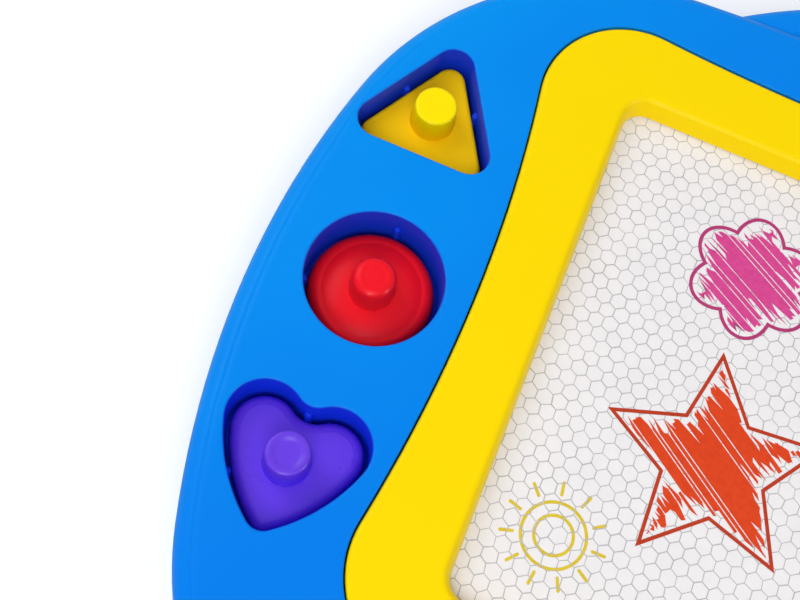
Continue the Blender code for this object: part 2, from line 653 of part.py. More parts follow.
def rear_cover():
    """Rear shell, a tray with screw bosses and the ribs that guide the eraser carriage."""
    rings = []
    for i in range(ROUND_STEPS):
        turn = math.pi / 2 * i / (ROUND_STEPS - 1)
        inset = FOOT_RADIUS * (1 - math.sin(turn))
        rings.append(level(casing_outline(inset), FOOT_RADIUS * (1 - math.cos(turn))))
    top = PARTING_HEIGHT - GAP
    rings += [level(casing_outline(), top), level(casing_outline(LAP_THICKNESS), top)]
    rings += [level(casing_outline(inset), top - LAP_DEPTH) for inset in (LAP_THICKNESS, WALL)]
    rings += [level(casing_outline(WALL), PLATE)]
    tray = piece("rear_cover", skin(rings), BLUE)
    boss_top = POST_BOTTOM - GAP
    combine(tray, "UNION", cutter("cover_bosses", posts(casing_posts(), BOSS_RADIUS, PLATE / 2, boss_top)))
    rib_top = CARRIAGE_LOW_Z - GAP
    offset = KEEL_HALF[1] + RUNNING + RIB / 2
    low_rib = rectangle(SLIDER_X + FOOT_HALF[0] + RIB, RIB / 2)
    high_rib = rectangle(SLIDER_X + BAR_HALF_WIDTH + RIB, RIB / 2)
    ribs = [slab(moved(low_rib, (0.0, TRACK_Y + side * offset)), PLATE / 2, rib_top) for side in (-1, 1)]
    ribs.append(slab(moved(high_rib, (0.0, BAR_TOP_Y - BAR_OVERLAP / 2)), PLATE / 2, rib_top))
    combine(tray, "UNION", cutter("cover_ribs", joined(ribs)))
    seats = posts(casing_posts(), HEAD_RADIUS + GAP, -OVERRUN, BOSS_SEAT)
    combine(tray, "DIFFERENCE", cutter("cover_seats", seats))
    bores = posts(casing_posts(), SHANK_HOLE, BOSS_SEAT / 2, boss_top + OVERRUN, SCREW_STEPS)
    bores = joined([bores, notches(TONGUE_BOTTOM_Z - GAP, top + OVERRUN)])
    combine(tray, "DIFFERENCE", cutter("cover_bores", bores))


def screen_bezel():
    """Bezel, a channel that frames the screen, with a soft slope down to the opening."""
    slope_shares = ((0.0, 0.0), (0.15, 0.45), (0.45, 0.85), (1.0, 1.0))
    lip = SCREEN_Z + GAP
    fall = CASING_HEIGHT - lip
    rings = [level(screen_outline(BEZEL_SLOPE * out), lip + fall * up) for out, up in slope_shares]
    rings += [level(bezel_outline(-BEZEL_EDGE), CASING_HEIGHT)]
    rings += [level(bezel_outline(), CASING_HEIGHT - BEZEL_EDGE)]
    rings += [level(bezel_outline(), LEDGE_Z + GAP), level(bezel_outline(-WALL), LEDGE_Z + GAP)]
    rings += [level(bezel_outline(-WALL), CASING_HEIGHT - PLATE)]
    channel = screen_outline(BEZEL_SLOPE + BEZEL_RIM)
    rings += [level(channel, CASING_HEIGHT - PLATE), level(channel, lip)]
    frame = piece("screen_bezel", skin(rings, closed=True), YELLOW)
    columns = posts(bezel_posts(), BEZEL_POST_RADIUS, LEDGE_Z + GAP, PLATE_MID_Z)
    combine(frame, "UNION", cutter("bezel_columns", columns))
    screw_end = LEDGE_LOW_Z + BEZEL_SCREW + GAP
    bores = posts(bezel_posts(), SHANK_HOLE, LEDGE_Z - OVERRUN, screw_end, SCREW_STEPS)
    combine(frame, "DIFFERENCE", cutter("bezel_bores", bores))


def panel():
    """Drawing panel: clear film, honeycomb core with its fluid, and back film."""
    sheet = panel_outline()
    piece("panel_top_film", slab(sheet, SCREEN_Z - FILM, SCREEN_Z), FILM_WHITE)
    piece("honeycomb_core", slab(sheet, CORE_TOP_Z - CORE, CORE_TOP_Z), CORE_GREY)
    piece("panel_back_film", slab(sheet, BACK_FILM_TOP_Z - FILM, BACK_FILM_TOP_Z), FILM_WHITE)


def stamp(name, outline, centre, knob, plate, shoulder_shares, finish):
    """Stamp with its knob, and the magnet sheet in its underside, about the well's centre."""
    clear = -STAMP_CLEARANCE
    rim = outline(clear - MAGNET_RIM)
    rings = [level(rim, MAGNET_SHEET + GAP), level(rim, 0.0), level(outline(clear), 0.0)]
    for inset, up in shoulder_shares:
        rings.append(level(outline(clear - plate * inset), plate * up))
    made = piece(name, skin(rings), finish, (*centre, STAMP_Z))
    top = CASING_HEIGHT + KNOB_PROUD - STAMP_Z
    sections = ((KNOB_BASE_RADIUS, plate / 2), (KNOB_BASE_RADIUS, plate),
                (KNOB_TOP_RADIUS, top - KNOB_EDGE), (KNOB_TOP_RADIUS - KNOB_EDGE, top))
    grip = skin([level(circle(radius, KNOB_STEPS, knob), height) for radius, height in sections])
    combine(made, "UNION", cutter(name + "_grip", grip, (*centre, STAMP_Z)))
    sheet = slab(outline(clear - MAGNET_RIM - GAP), 0.0, MAGNET_SHEET)
    piece(name + "_magnet", sheet, MAGNET, (*centre, STAMP_Z))


def stamps():
    """The three shape stamps."""
    flat_shares = ((0.0, 0.84), (0.05, 0.95), (0.16, 1.0))
    soft_shares = ((0.0, 0.55), (0.12, 0.82), (0.45, 1.0))
    domed_shares = ((0.0, 0.28), (0.08, 0.50), (0.25, 0.66), (0.70, 0.84), (1.10, 0.93))
    stamp("triangle_stamp", triangle_outline, TRIANGLE_CENTRE, TRIANGLE_KNOB, TRIANGLE_PLATE,
          flat_shares, STAMP_YELLOW)
    stamp("circle_stamp", circle_outline, CIRCLE_CENTRE, CIRCLE_KNOB, CIRCLE_PLATE,
          domed_shares, STAMP_RED)
    stamp("heart_stamp", heart_outline, HEART_CENTRE, HEART_KNOB, HEART_PLATE,
          soft_shares, STAMP_PURPLE)


def screw_shape(length):
    """Pan-head screw with its seat at z = 0, its head below and its shank above."""
    sections = ((HEAD_RADIUS - HEAD_ROUND, -HEAD_HEIGHT), (HEAD_RADIUS, HEAD_ROUND - HEAD_HEIGHT),
                (HEAD_RADIUS, 0.0), (SHANK_RADIUS, 0.0), (SHANK_RADIUS, length))
    return skin([level(circle(radius, SCREW_STEPS), height) for radius, height in sections])


def screws():
    """Screws of the casing and of the bezel."""
    for i, place in enumerate(casing_posts()):
        shape = screw_shape(CASING_SCREW)
        piece(f"casing_screw_{i + 1:02d}", shape, STEEL, (*place, BOSS_SEAT - GAP))
    for i, place in enumerate(bezel_posts()):
        shape = screw_shape(BEZEL_SCREW)
        piece(f"bezel_screw_{i + 1}", shape, STEEL, (*place, LEDGE_LOW_Z - GAP))


def eraser():
    """Eraser slider: knob on the casing, carriage behind the panel, its magnet bar and screw."""
    start = (SLIDER_X, TRACK_Y, 0.0)
    low = TRACK_Z + GAP
    grip_low = low + SLIDER_KNOB_BASE
    stem_low = CARRIAGE_TOP_Z + GAP
    top = low + SLIDER_GRIP_RISE
    knob_x, knob_y = SLIDER_KNOB_HALF
    grip_x, grip_y = SLIDER_GRIP_HALF
    crown = SLIDER_GRIP_CROWN
    sections = ((*STEM_HALF, stem_low), (*STEM_HALF, low), (knob_x, knob_y, low),
                (knob_x, knob_y, grip_low - crown), (knob_x - crown, knob_y - crown, grip_low),
                (grip_x + crown, grip_y + crown, grip_low + crown), (grip_x, grip_y, grip_low + 3 * crown),
                (grip_x, grip_y, top - crown), (grip_x - crown, grip_y - crown, top))
    rings = [level(stadium(x, y, KNOB_STEPS // 4), z) for x, y, z in sections]
    knob = piece("eraser_knob", skin(rings), KNOB_YELLOW, start)
    hole_top = CARRIAGE_LOW_Z + KNOB_SCREW + GAP
    bore = slab(circle(SHANK_HOLE, SCREW_STEPS), stem_low - OVERRUN, hole_top)
    combine(knob, "DIFFERENCE", cutter("knob_bore", bore, start))
    foot_x, foot_y = FOOT_HALF
    bar_top = BAR_TOP_Y - TRACK_Y
    tee = mirrored([(0.0, -foot_y), (foot_x, -foot_y), (foot_x, foot_y), (BAR_HALF_WIDTH, foot_y),
                    (BAR_HALF_WIDTH, bar_top), (0.0, bar_top)])
    carriage = piece("eraser_carriage", slab(tee, CARRIAGE_LOW_Z, CARRIAGE_TOP_Z), WHITE, start)
    keel_low, keel_high = CARRIAGE_LOW_Z - KEEL_DEPTH, CARRIAGE_TOP_Z - CARRIAGE / 2
    keels = [slab(moved(rectangle(*KEEL_HALF), (x, 0.0)), keel_low, keel_high) for x in (-KEEL_X, KEEL_X)]
    combine(carriage, "UNION", cutter("carriage_keels", joined(keels), start))
    seat_z = CARRIAGE_TOP_Z - MAGNET_BAR_SEAT
    magnet_x, magnet_y = MAGNET_BAR_HALF_WIDTH, OPENING_HALF[1] - MAGNET_BAR_SHORT
    middle = (0.0, -TRACK_Y)
    groove_outline = moved(rectangle(magnet_x + GAP, magnet_y + GAP), middle)
    groove = slab(groove_outline, seat_z, CARRIAGE_TOP_Z + OVERRUN)
    hole = slab(circle(SHANK_HOLE, SCREW_STEPS), CARRIAGE_LOW_Z - OVERRUN, CARRIAGE_TOP_Z + OVERRUN)
    combine(carriage, "DIFFERENCE", cutter("carriage_cuts", joined([groove, hole]), start))
    bar = slab(moved(rectangle(magnet_x, magnet_y), middle), seat_z + GAP, seat_z + GAP + MAGNET_BAR)
    piece("eraser_magnet_bar", bar, MAGNET, start)
    piece("knob_screw", screw_shape(KNOB_SCREW), STEEL, (SLIDER_X, TRACK_Y, CARRIAGE_LOW_Z - GAP))


def carry_handle():
    """Arched handle with a tongue at each end, which a casing post passes through."""
    half = HANDLE_WIDTH / 2
    rise = (HANDLE_TOP - HANDLE_BOTTOM) / 2
    middle = (HANDLE_TOP + HANDLE_BOTTOM) / 2
    corners = ((1, 1, 0.0), (-1, 1, math.pi / 2), (-1, -1, math.pi), (1, -1, 1.5 * math.pi))
    section = []
    for x, z, start in corners:
        centre = (x * (half - HANDLE_ROUND), z * (rise - HANDLE_ROUND))
        section += arc(centre, HANDLE_ROUND, start, start + math.pi / 2, ROUND_STEPS)
        section += arc(centre, HANDLE_ROUND, start + math.pi / 2, start + math.pi, 1)
    rings = []
    for i in range(HANDLE_STEPS + 1):
        angle = math.pi / 2 - HANDLE_SPREAD + 2 * HANDLE_SPREAD * i / HANDLE_STEPS
        reach = HANDLE_RADIUS - half
        along = Vector((math.cos(angle), math.sin(angle)))
        flat = [(Vector((0.0, HANDLE_CENTRE_Y)) + along * (reach + r), middle + z) for r, z in section]
        rings.append([(*point, height) for point, height in flat])
    bar = piece("carry_handle", skin(rings), BLUE)
    casing = slab(casing_outline(-GAP), -OVERRUN, CASING_HEIGHT + OVERRUN)
    combine(bar, "DIFFERENCE", cutter("handle_foot", casing))
    low, high = TONGUE_BOTTOM_Z, TONGUE_BOTTOM_Z + TONGUE_THICKNESS
    inner, outer = TOP_EDGE - TONGUE_IN, TOP_EDGE + TONGUE_OUT
    combine(bar, "UNION", cutter("handle_tongues", tongues(0.0, inner, outer, low, high)))
    places = [place for place in casing_posts() if abs(place[0]) == TONGUE_X]
    holes = posts(places, POST_RADIUS + GAP, low - OVERRUN, high + OVERRUN)
    combine(bar, "DIFFERENCE", cutter("handle_holes", holes))


def turned(sections, closed=False):
    """Shape turned about the Y axis from radii and places along it."""
    return skin([[(x, y, z) for x, z in circle(radius, KNOB_STEPS)] for radius, y in sections], closed)


def pen():
    """Pen: hollow barrel, tail cap with the tether's hole, and the magnetic nib."""
    place = (PEN_X, PEN_TAIL_Y, PEN_Z)
    joint_y = -PEN_CAP_DOME - PEN_CAP
    nose_y = joint_y - GAP - PEN_BARREL
    tip_y = nose_y - PEN_NOSE
    bore = PEN_RADIUS - PEN_WALL
    nib_bore = PEN_NIB_RADIUS + GAP
    barrel = ((PEN_RADIUS, joint_y - GAP), (PEN_RADIUS, nose_y), (PEN_NOSE_RADIUS, tip_y),
              (nib_bore, tip_y), (nib_bore, tip_y + PEN_NIB_IN), (bore, nose_y + PEN_NIB_IN),
              (bore, joint_y - GAP))
    piece("pen_barrel", turned(barrel, closed=True), PEN_RED, place)
    spigot = bore - GAP
    cap = ((spigot, joint_y - PEN_SPIGOT), (spigot, joint_y), (PEN_RADIUS, joint_y),
           (PEN_RADIUS, -PEN_CAP_DOME), (PEN_CAP_TIP_RADIUS, 0.0))
    tail = piece("pen_cap", turned(cap), BLUE, place)
    hole_y = -PEN_CAP_DOME - PEN_CAP / 4
    hole = posts([(0.0, hole_y)], TETHER_HOLE_RADIUS, -2 * PEN_RADIUS, 2 * PEN_RADIUS)
    combine(tail, "DIFFERENCE", cutter("tether_hole", hole, place))
    nib = ((PEN_NIB_RADIUS, tip_y + PEN_NIB_IN - GAP), (PEN_NIB_RADIUS, tip_y - PEN_NIB_OUT / 2),
           (PEN_NIB_RADIUS / 2, tip_y - PEN_NIB_OUT))
    piece("pen_nib", turned(nib), STEEL, place)


def tether_eyelet():
    """Flanged eyelet that the pen's tether is tied to."""
    sections = ((EYELET_BORE, EYELET_FLANGE), (EYELET_FLANGE_RADIUS, EYELET_FLANGE),
                (EYELET_FLANGE_RADIUS, 0.0), (EYELET_RADIUS, 0.0), (EYELET_RADIUS, -EYELET_LENGTH),
                (EYELET_BORE, -EYELET_LENGTH))
    rings = [level(circle(radius, KNOB_STEPS), z) for radius, z in sections]
    piece("tether_eyelet", skin(rings, closed=True), YELLOW, (*eyelet_place(), CASING_HEIGHT + GAP))


for old in list(bpy.data.objects):
    bpy.data.objects.remove(old)

BLUE = material("casing_blue", (0.0, 0.246, 0.871), 0.35)
YELLOW = material("bezel_yellow", (1.0, 0.745, 0.0), 0.35)
STAMP_YELLOW = material("stamp_yellow", (0.89, 0.53, 0.004), 0.4)
STAMP_RED = material("stamp_red", (0.75, 0.007, 0.017), 0.4)
STAMP_PURPLE = material("stamp_purple", (0.10, 0.026, 0.64), 0.4)
KNOB_YELLOW = material("knob_yellow", (1.0, 0.70, 0.0), 0.4)
PEN_RED = material("pen_red", (0.75, 0.007, 0.017), 0.35)
WHITE = material("carriage_white", (0.8, 0.8, 0.8), 0.5)
FILM_WHITE = material("panel_film", (0.85, 0.84, 0.85), 0.3)
CORE_GREY = material("panel_core", (0.55, 0.55, 0.56), 0.5)
MAGNET = material("magnet_rubber", (0.03, 0.03, 0.032), 0.7)
STEEL = material("screw_steel", (0.55, 0.55, 0.56), 0.35, 1.0)
GUIDE = material("guide", (0.5, 0.5, 0.5), 0.5)

BOARD = bpy.data.objects.new("board", None)
BOARD.location = (0.0, -BASE_MIDDLE_Y, 0.0)
bpy.context.scene.collection.objects.link(BOARD)

front_casing()
rear_cover()
screen_bezel()
panel()
stamps()
screws()
eraser()
carry_handle()
pen()
tether_eyelet()
for made in BOARD.children:
    shade(made)
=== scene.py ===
"""Looks of the magnetic drawing board: moulded shells, bezel, stamps, slider, pen and screen.

Sizes are in millimetres in the board's own drawing, which is centred on the screen: +X to the
right, +Y towards the handle and +Z up. Each finished mesh is brought to metres and to its place.
"""
import logging
import math
import random
from collections.abc import Callable, Iterable
from dataclasses import dataclass, field
from enum import Enum

import bmesh
import bpy
from bmesh.types import BMEdge, BMesh, BMFace, BMVert
from mathutils import Matrix, Vector
from mathutils.geometry import intersect_line_line_2d, intersect_point_line


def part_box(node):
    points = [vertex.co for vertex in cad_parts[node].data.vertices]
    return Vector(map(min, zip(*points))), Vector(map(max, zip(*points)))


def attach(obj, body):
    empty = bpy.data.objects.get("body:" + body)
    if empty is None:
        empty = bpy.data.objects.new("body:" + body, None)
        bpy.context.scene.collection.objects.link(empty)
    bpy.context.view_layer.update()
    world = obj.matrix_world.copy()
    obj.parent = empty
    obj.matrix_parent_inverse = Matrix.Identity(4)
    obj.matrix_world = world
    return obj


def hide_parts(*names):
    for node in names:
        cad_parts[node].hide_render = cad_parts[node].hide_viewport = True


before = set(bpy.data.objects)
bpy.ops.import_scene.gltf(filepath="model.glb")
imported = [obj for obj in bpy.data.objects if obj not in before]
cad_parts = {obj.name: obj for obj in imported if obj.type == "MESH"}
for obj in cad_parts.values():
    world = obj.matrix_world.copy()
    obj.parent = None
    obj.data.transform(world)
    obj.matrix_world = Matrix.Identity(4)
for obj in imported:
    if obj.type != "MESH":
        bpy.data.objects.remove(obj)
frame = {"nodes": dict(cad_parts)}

LOG = logging.getLogger("drawing_board")
MM = 0.001
# Vertices this near to each other, in millimetres, are joined in a mirrored and in a finished mesh
MERGE = 0.002
WELD = 0.0005
# Part of its way that the most confined vertex of a narrowed contour still goes
LEAST_SHARE = 0.03
Point = tuple[float, float]
Steps = list[Point]
Tree = bpy.types.NodeTree
Socket = bpy.types.NodeSocket


class Body(Enum):
    """Bodies of the board that pieces ride on."""

    BOARD = "board"
    ERASER = "eraser"
    TRIANGLE = "triangle_stamp_body"
    CIRCLE = "circle_stamp_body"
    HEART = "heart_stamp_body"
    PEN = "pen"


class Slot(Enum):
    """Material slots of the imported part."""

    CASING = "casing_blue"
    BEZEL = "bezel_yellow"
    STAMP_YELLOW = "stamp_yellow"
    STAMP_RED = "stamp_red"
    STAMP_PURPLE = "stamp_purple"
    KNOB = "knob_yellow"
    PEN = "pen_red"
    CARRIAGE = "carriage_white"
    FILM = "panel_film"
    CORE = "panel_core"
    MAGNET = "magnet_rubber"
    STEEL = "screw_steel"


class Plane(Enum):
    """Plane that a line is drawn in, by the direction that it is seen from."""

    PLAN = (0.0, 0.0, 1.0)
    SECTION = (0.0, -1.0, 0.0)


# Materials


def linear(code: str) -> tuple[float, float, float, float]:
    """Linear colour of an sRGB hex code.

    Args:
        code: six hex digits, with or without a leading sign.

    Returns:
        Red, green, blue and an alpha of 1.
    """
    parts = [int(code.lstrip("#")[i:i + 2], 16) / 255 for i in (0, 2, 4)]
    straight = [c / 12.92 if c <= 0.04045 else ((c + 0.055) / 1.055) ** 2.4 for c in parts]
    return (straight[0], straight[1], straight[2], 1.0)


def per_metre(millimetres: float) -> float:
    """Scale of a texture whose features are that many millimetres apart."""
    return 1.0 / (millimetres * MM)


def add(tree: Tree, kind: str, links: dict[str, Socket] | None = None,
        **settings: object) -> bpy.types.Node:
    """Adds a node with its settings and links.

    Args:
        tree: node tree that takes the node.
        kind: Blender's name of the node's type.
        links: output sockets of other nodes, by the name of the input that each one feeds.
        settings: properties of the node, and values of its inputs with _ for a space.

    Returns:
        The node.
    """
    made = tree.nodes.new(kind)
    for name, value in settings.items():
        if hasattr(made, name):
            setattr(made, name, value)
        else:
            made.inputs[name.replace("_", " ")].default_value = value
    for name, socket in (links or {}).items():
        tree.links.new(socket, made.inputs[int(name) if name.isdigit() else name])
    return made


def new_material(name: str) -> bpy.types.Material:
    """Empty material that uses nodes."""
    made = bpy.data.materials.new(name)
    made.use_nodes = True
    made.node_tree.nodes.clear()
    return made


def noise(tree: Tree, place: Socket, apart_mm: float, detail: float, roughness: float = 0.5) -> Socket:
    """Adds a noise texture.

    Args:
        tree: node tree that takes it.
        place: place on the object.
        apart_mm: distance between its features.
        detail: number of finer layers.
        roughness: strength of the finer layers.

    Returns:
        Its value.
    """
    made = add(tree, "ShaderNodeTexNoise", {"Vector": place}, Scale=per_metre(apart_mm),
               Detail=detail, Roughness=roughness)
    return made.outputs["Fac"]


def spread(tree: Tree, value: Socket, low: float, high: float, to_low: float = 0.0,
           to_high: float = 1.0) -> Socket:
    """Brings a value from one range into another.

    Args:
        tree: node tree that takes the node.
        value: the value.
        low: value that becomes to_low.
        high: value that becomes to_high.
        to_low: start of the new range.
        to_high: end of the new range.

    Returns:
        The new value.
    """
    made = add(tree, "ShaderNodeMapRange", {"Value": value}, From_Min=low, From_Max=high,
               To_Min=to_low, To_Max=to_high)
    return made.outputs["Result"]


def blend(tree: Tree, share: Socket, first: str | Socket, second: str) -> Socket:
    """Mixes two colours.

    Args:
        tree: node tree that takes the node.
        share: share of the second colour.
        first: hex code or output of the first colour.
        second: hex code of the second colour.

    Returns:
        The mixed colour.
    """
    made = add(tree, "ShaderNodeMix", {"Factor": share}, data_type="RGBA")
    if isinstance(first, str):
        made.inputs[6].default_value = linear(first)
    else:
        tree.links.new(first, made.inputs[6])
    made.inputs[7].default_value = linear(second)
    return made.outputs[2]


def bump(tree: Tree, height: Socket, strength: float, depth_mm: float) -> Socket:
    """Adds fine relief.

    Args:
        tree: node tree that takes it.
        height: its height, from 0 to 1.
        strength: share of it that shows.
        depth_mm: its depth.

    Returns:
        The surface's normal.
    """
    made = add(tree, "ShaderNodeBump", {"Height": height}, Strength=strength, Distance=depth_mm * MM)
    return made.outputs["Normal"]


@dataclass(frozen=True)
class Finish:
    """Finish of a surface, with its main colour and its second tone."""

    name: str
    colour: str
    tone: str

    def make(self) -> bpy.types.Material:
        """Builds the material.

        Returns:
            The finished material.
        """
        made = new_material(self.name)
        tree = made.node_tree
        skin = self.skin(tree, add(tree, "ShaderNodeTexCoord").outputs["Object"])
        add(tree, "ShaderNodeOutputMaterial", {"Surface": skin.outputs["BSDF"]})
        return made

    def skin(self, tree: Tree, place: Socket) -> bpy.types.Node:
        """Adds the surface shader, which each kind of finish builds in its own way."""
        raise NotImplementedError

    def tones(self, tree: Tree, pattern: Socket, low: float = 0.35, high: float = 0.7) -> Socket:
        """Colour that changes between the two tones with a pattern."""
        return blend(tree, spread(tree, pattern, low, high), self.colour, self.tone)


@dataclass(frozen=True)
class MouldedPlastic(Finish):
    """Pigmented ABS from a steel mould: even colour with faint flow tones, a painted light gradient along a
    given slope, and a fine satin grain.

    The attribute named recess says how far a surface lies in a hollow, from 0 to 1. There a painted shade
    colour is blended in, standing for the shade in the hollow and for light that has been coloured on its
    way in.
    """

    painted_shade: str = ""
    # Painted light: the colour brightens along this slope, per millimetre, from where the blend starts
    painted_light_slope: Point = (0.0, 0.0)
    flow_and_light_start: float = 0.5
    roughness: float = 0.36
    specular: float = 0.16
    flow_mm: float = 55.0
    speck_mm: float = 1.6
    wear_mm: float = 22.0
    grain_mm: float = 0.5
    grain_depth_mm: float = 0.006
    specks: float = 0.0

    def skin(self, tree: Tree, place: Socket) -> bpy.types.Node:
        """Adds the surface shader.

        Args:
            tree: node tree that takes it.
            place: place on the object.

        Returns:
            The shader.
        """
        # Wide, weak tones where the melt cooled unevenly, and on top a painted light gradient: brighter
        # towards the side the light falls from, along the given slope
        flow = spread(tree, noise(tree, place, self.flow_mm, 2.0, 0.45), 0.35, 0.7,
                      self.flow_and_light_start - 0.15, self.flow_and_light_start + 0.15)
        painted_light_slant = add(tree, "ShaderNodeVectorMath", {"0": place}, operation="DOT_PRODUCT")
        painted_light_slant.inputs[1].default_value = (self.painted_light_slope[0] / MM, self.painted_light_slope[1] / MM, 0.0)
        flow_and_painted_light = add(tree, "ShaderNodeMath", {"0": flow, "1": painted_light_slant.outputs["Value"]}, use_clamp=True)
        body = blend(tree, flow_and_painted_light.outputs[0], self.colour, self.tone)
        # Pigment specks, a few tenths of a millimetre across
        rare = spread(tree, noise(tree, place, self.speck_mm, 3.0), 0.56, 0.74, 0.0, self.specks)
        base = blend(tree, rare, body, self.tone)
        # Painted shade: hollows marked by the recess attribute take the painted shade colour
        hollow = add(tree, "ShaderNodeAttribute", attribute_name="recess")
        with_painted_shade = blend(tree, hollow.outputs["Fac"], base, self.painted_shade or self.colour)
        # Grain of the eroded mould, drawn at twice its real pitch so that it shows
        grain = bump(tree, noise(tree, place, self.grain_mm, 2.0, 0.6), 0.6, self.grain_depth_mm)
        # Handling polishes the surface in soft patches
        sheen = spread(tree, noise(tree, place, self.wear_mm, 3.0), 0.3, 0.7,
                       self.roughness - 0.05, self.roughness + 0.06)
        return add(tree, "ShaderNodeBsdfPrincipled",
                   {"Base Color": with_painted_shade, "Roughness": sheen, "Normal": grain},
                   IOR=1.53, Specular_IOR_Level=self.specular)


@dataclass(frozen=True)
class SheetFilm(Finish):
    """Polyester film laid over the cells: almost white, satin, with a faint blotchy milkiness."""

    roughness: float = 0.38
    blotch_mm: float = 6.0
    wave_mm: float = 4.0
    wave_depth_mm: float = 0.01

    def skin(self, tree: Tree, place: Socket) -> bpy.types.Node:
        """Adds the surface shader.

        Args:
            tree: node tree that takes it.
            place: place on the object.

        Returns:
            The shader.
        """
        # The fluid behind the film settles in soft blotches a few cells wide
        base = self.tones(tree, noise(tree, place, self.blotch_mm, 4.0, 0.6))
        # The film waves very slightly between the cell walls that it is bonded to
        wave = bump(tree, noise(tree, place, self.wave_mm, 1.0), 0.5, self.wave_depth_mm)
        return add(tree, "ShaderNodeBsdfPrincipled", {"Base Color": base, "Normal": wave},
                   Roughness=self.roughness, IOR=1.6, Specular_IOR_Level=0.3)


@dataclass(frozen=True)
class CellWall(Finish):
    """Edges of the cell sheet seen through the film: thin grey lines that thicken and fade."""

    patch_mm: float = 2.2

    def skin(self, tree: Tree, place: Socket) -> bpy.types.Node:
        """Adds the surface shader, with glue that wets the walls unevenly from one to the next."""
        base = self.tones(tree, noise(tree, place, self.patch_mm, 3.0, 0.65), 0.32, 0.68)
        return add(tree, "ShaderNodeBsdfPrincipled", {"Base Color": base}, Roughness=0.5, IOR=1.5,
                   Specular_IOR_Level=0.2)


@dataclass(frozen=True)
class ScreenInk(Finish):
    """Screen-printed ink on the film: flat, slightly uneven colour with a dry, matt surface."""

    patch_mm: float = 1.4

    def skin(self, tree: Tree, place: Socket) -> bpy.types.Node:
        """Adds the surface shader, with ink that lies thinner in small patches."""
        base = self.tones(tree, noise(tree, place, self.patch_mm, 3.0, 0.6))
        return add(tree, "ShaderNodeBsdfPrincipled", {"Base Color": base}, Roughness=0.55, IOR=1.5,
                   Specular_IOR_Level=0.15)


@dataclass(frozen=True)
class BondedMagnet(Finish):
    """Calendered magnet rubber: near black, matt, with the fine ripple of the rollers."""

    powder_mm: float = 0.6
    ripple_mm: float = 6.3

    def skin(self, tree: Tree, place: Socket) -> bpy.types.Node:
        """Adds the surface shader.

        Args:
            tree: node tree that takes it.
            place: place on the object.

        Returns:
            The shader.
        """
        base = blend(tree, noise(tree, place, self.powder_mm, 2.0), self.colour, self.tone)
        # The wave repeats about three times in its scale, so its lines lie 2 mm apart
        ripple = add(tree, "ShaderNodeTexWave", {"Vector": place}, Scale=per_metre(self.ripple_mm),
                     Distortion=1.5)
        return add(tree, "ShaderNodeBsdfPrincipled",
                   {"Base Color": base, "Normal": bump(tree, ripple.outputs["Fac"], 0.4, 0.02)},
                   Roughness=0.72, IOR=1.5)


@dataclass(frozen=True)
class ZincSteel(Finish):
    """Zinc-plated steel: cool grey metal with a slightly cloudy passivated skin."""

    cloud_mm: float = 1.2

    def skin(self, tree: Tree, place: Socket) -> bpy.types.Node:
        """Adds the surface shader, whose clouds change both its tone and its roughness."""
        cloud = noise(tree, place, self.cloud_mm, 4.0)
        links = {"Base Color": blend(tree, cloud, self.colour, self.tone),
                 "Roughness": spread(tree, cloud, 0.0, 1.0, 0.26, 0.44)}
        return add(tree, "ShaderNodeBsdfPrincipled", links, Metallic=1.0)


class FinishStore:
    """Finishes of the board, each made once."""

    # A fourth colour is painted shade for hollows and knob sides; the blue's slope paints light, brighter
    # towards the left and the handle
    BLUE = MouldedPlastic("moulded_abs_blue", "#007EEB", "#0096F3", "#143EE6",
                          (-0.00674, 0.00387), -0.51, specular=0.06)
    YELLOW = MouldedPlastic("moulded_abs_yellow", "#FFDE00", "#FFDA00", specular=0.06)
    STAMP_YELLOW = MouldedPlastic("moulded_polystyrene_yellow", "#FFD008", "#FFCA06", roughness=0.4,
                                  specular=0.08)
    STAMP_RED = MouldedPlastic("moulded_polystyrene_red", "#F81628", "#F01224", "#FF1C2C",
                               roughness=0.3, specular=0.1)
    STAMP_PURPLE = MouldedPlastic("moulded_polystyrene_purple", "#6C40E6", "#6034DA", "#5A2CF4",
                                  roughness=0.3, specular=0.2, specks=0.6)
    KNOB = MouldedPlastic("moulded_abs_knob_yellow", "#FFE900", "#FFE400", "#FFCA00",
                          roughness=0.3, specular=0.08)
    PEN = MouldedPlastic("moulded_abs_pen_red", "#E11423", "#D40F1E", roughness=0.3)
    CARRIAGE = MouldedPlastic("moulded_acetal_white", "#E8E8E6", "#DDDDDA", roughness=0.45)
    FILM = SheetFilm("drawn_polyester_film", "#F2EFF1", "#EEEBEE")
    CORE = SheetFilm("formed_cell_sheet", "#C4C4C6", "#B4B4B8", roughness=0.5)
    WALLS = CellWall("bonded_cell_walls", "#AEAEB0", "#C8C8CA")
    INK_RED = ScreenInk("printed_ink_orange_red", "#E14619", "#D63E16")
    INK_RED_LINE = ScreenInk("printed_ink_dark_red", "#BE3C1E", "#B2361A")
    INK_PINK = ScreenInk("printed_ink_magenta", "#DC4B96", "#D0408A")
    INK_PINK_LINE = ScreenInk("printed_ink_dark_magenta", "#B93C78", "#AE3470")
    INK_YELLOW = ScreenInk("printed_ink_yellow", "#E1C832", "#D6BC28")
    MAGNET = BondedMagnet("calendered_magnet_rubber", "#2B2B2D", "#39393C")
    STEEL = ZincSteel("zinc_plated_steel", "#C2C4C6", "#AEB0B4")

    def __init__(self) -> None:
        """Starts with no material made."""
        self.made: dict[str, bpy.types.Material] = {}

    def get(self, finish: Finish) -> bpy.types.Material:
        """Material of a finish, made on first use."""
        if finish.name not in self.made:
            self.made[finish.name] = finish.make()
        return self.made[finish.name]


# Shapes


def heading(start: Point, end: Point) -> float:
    """Direction from one point to another, in degrees."""
    return math.degrees(math.atan2(end[1] - start[1], end[0] - start[0]))


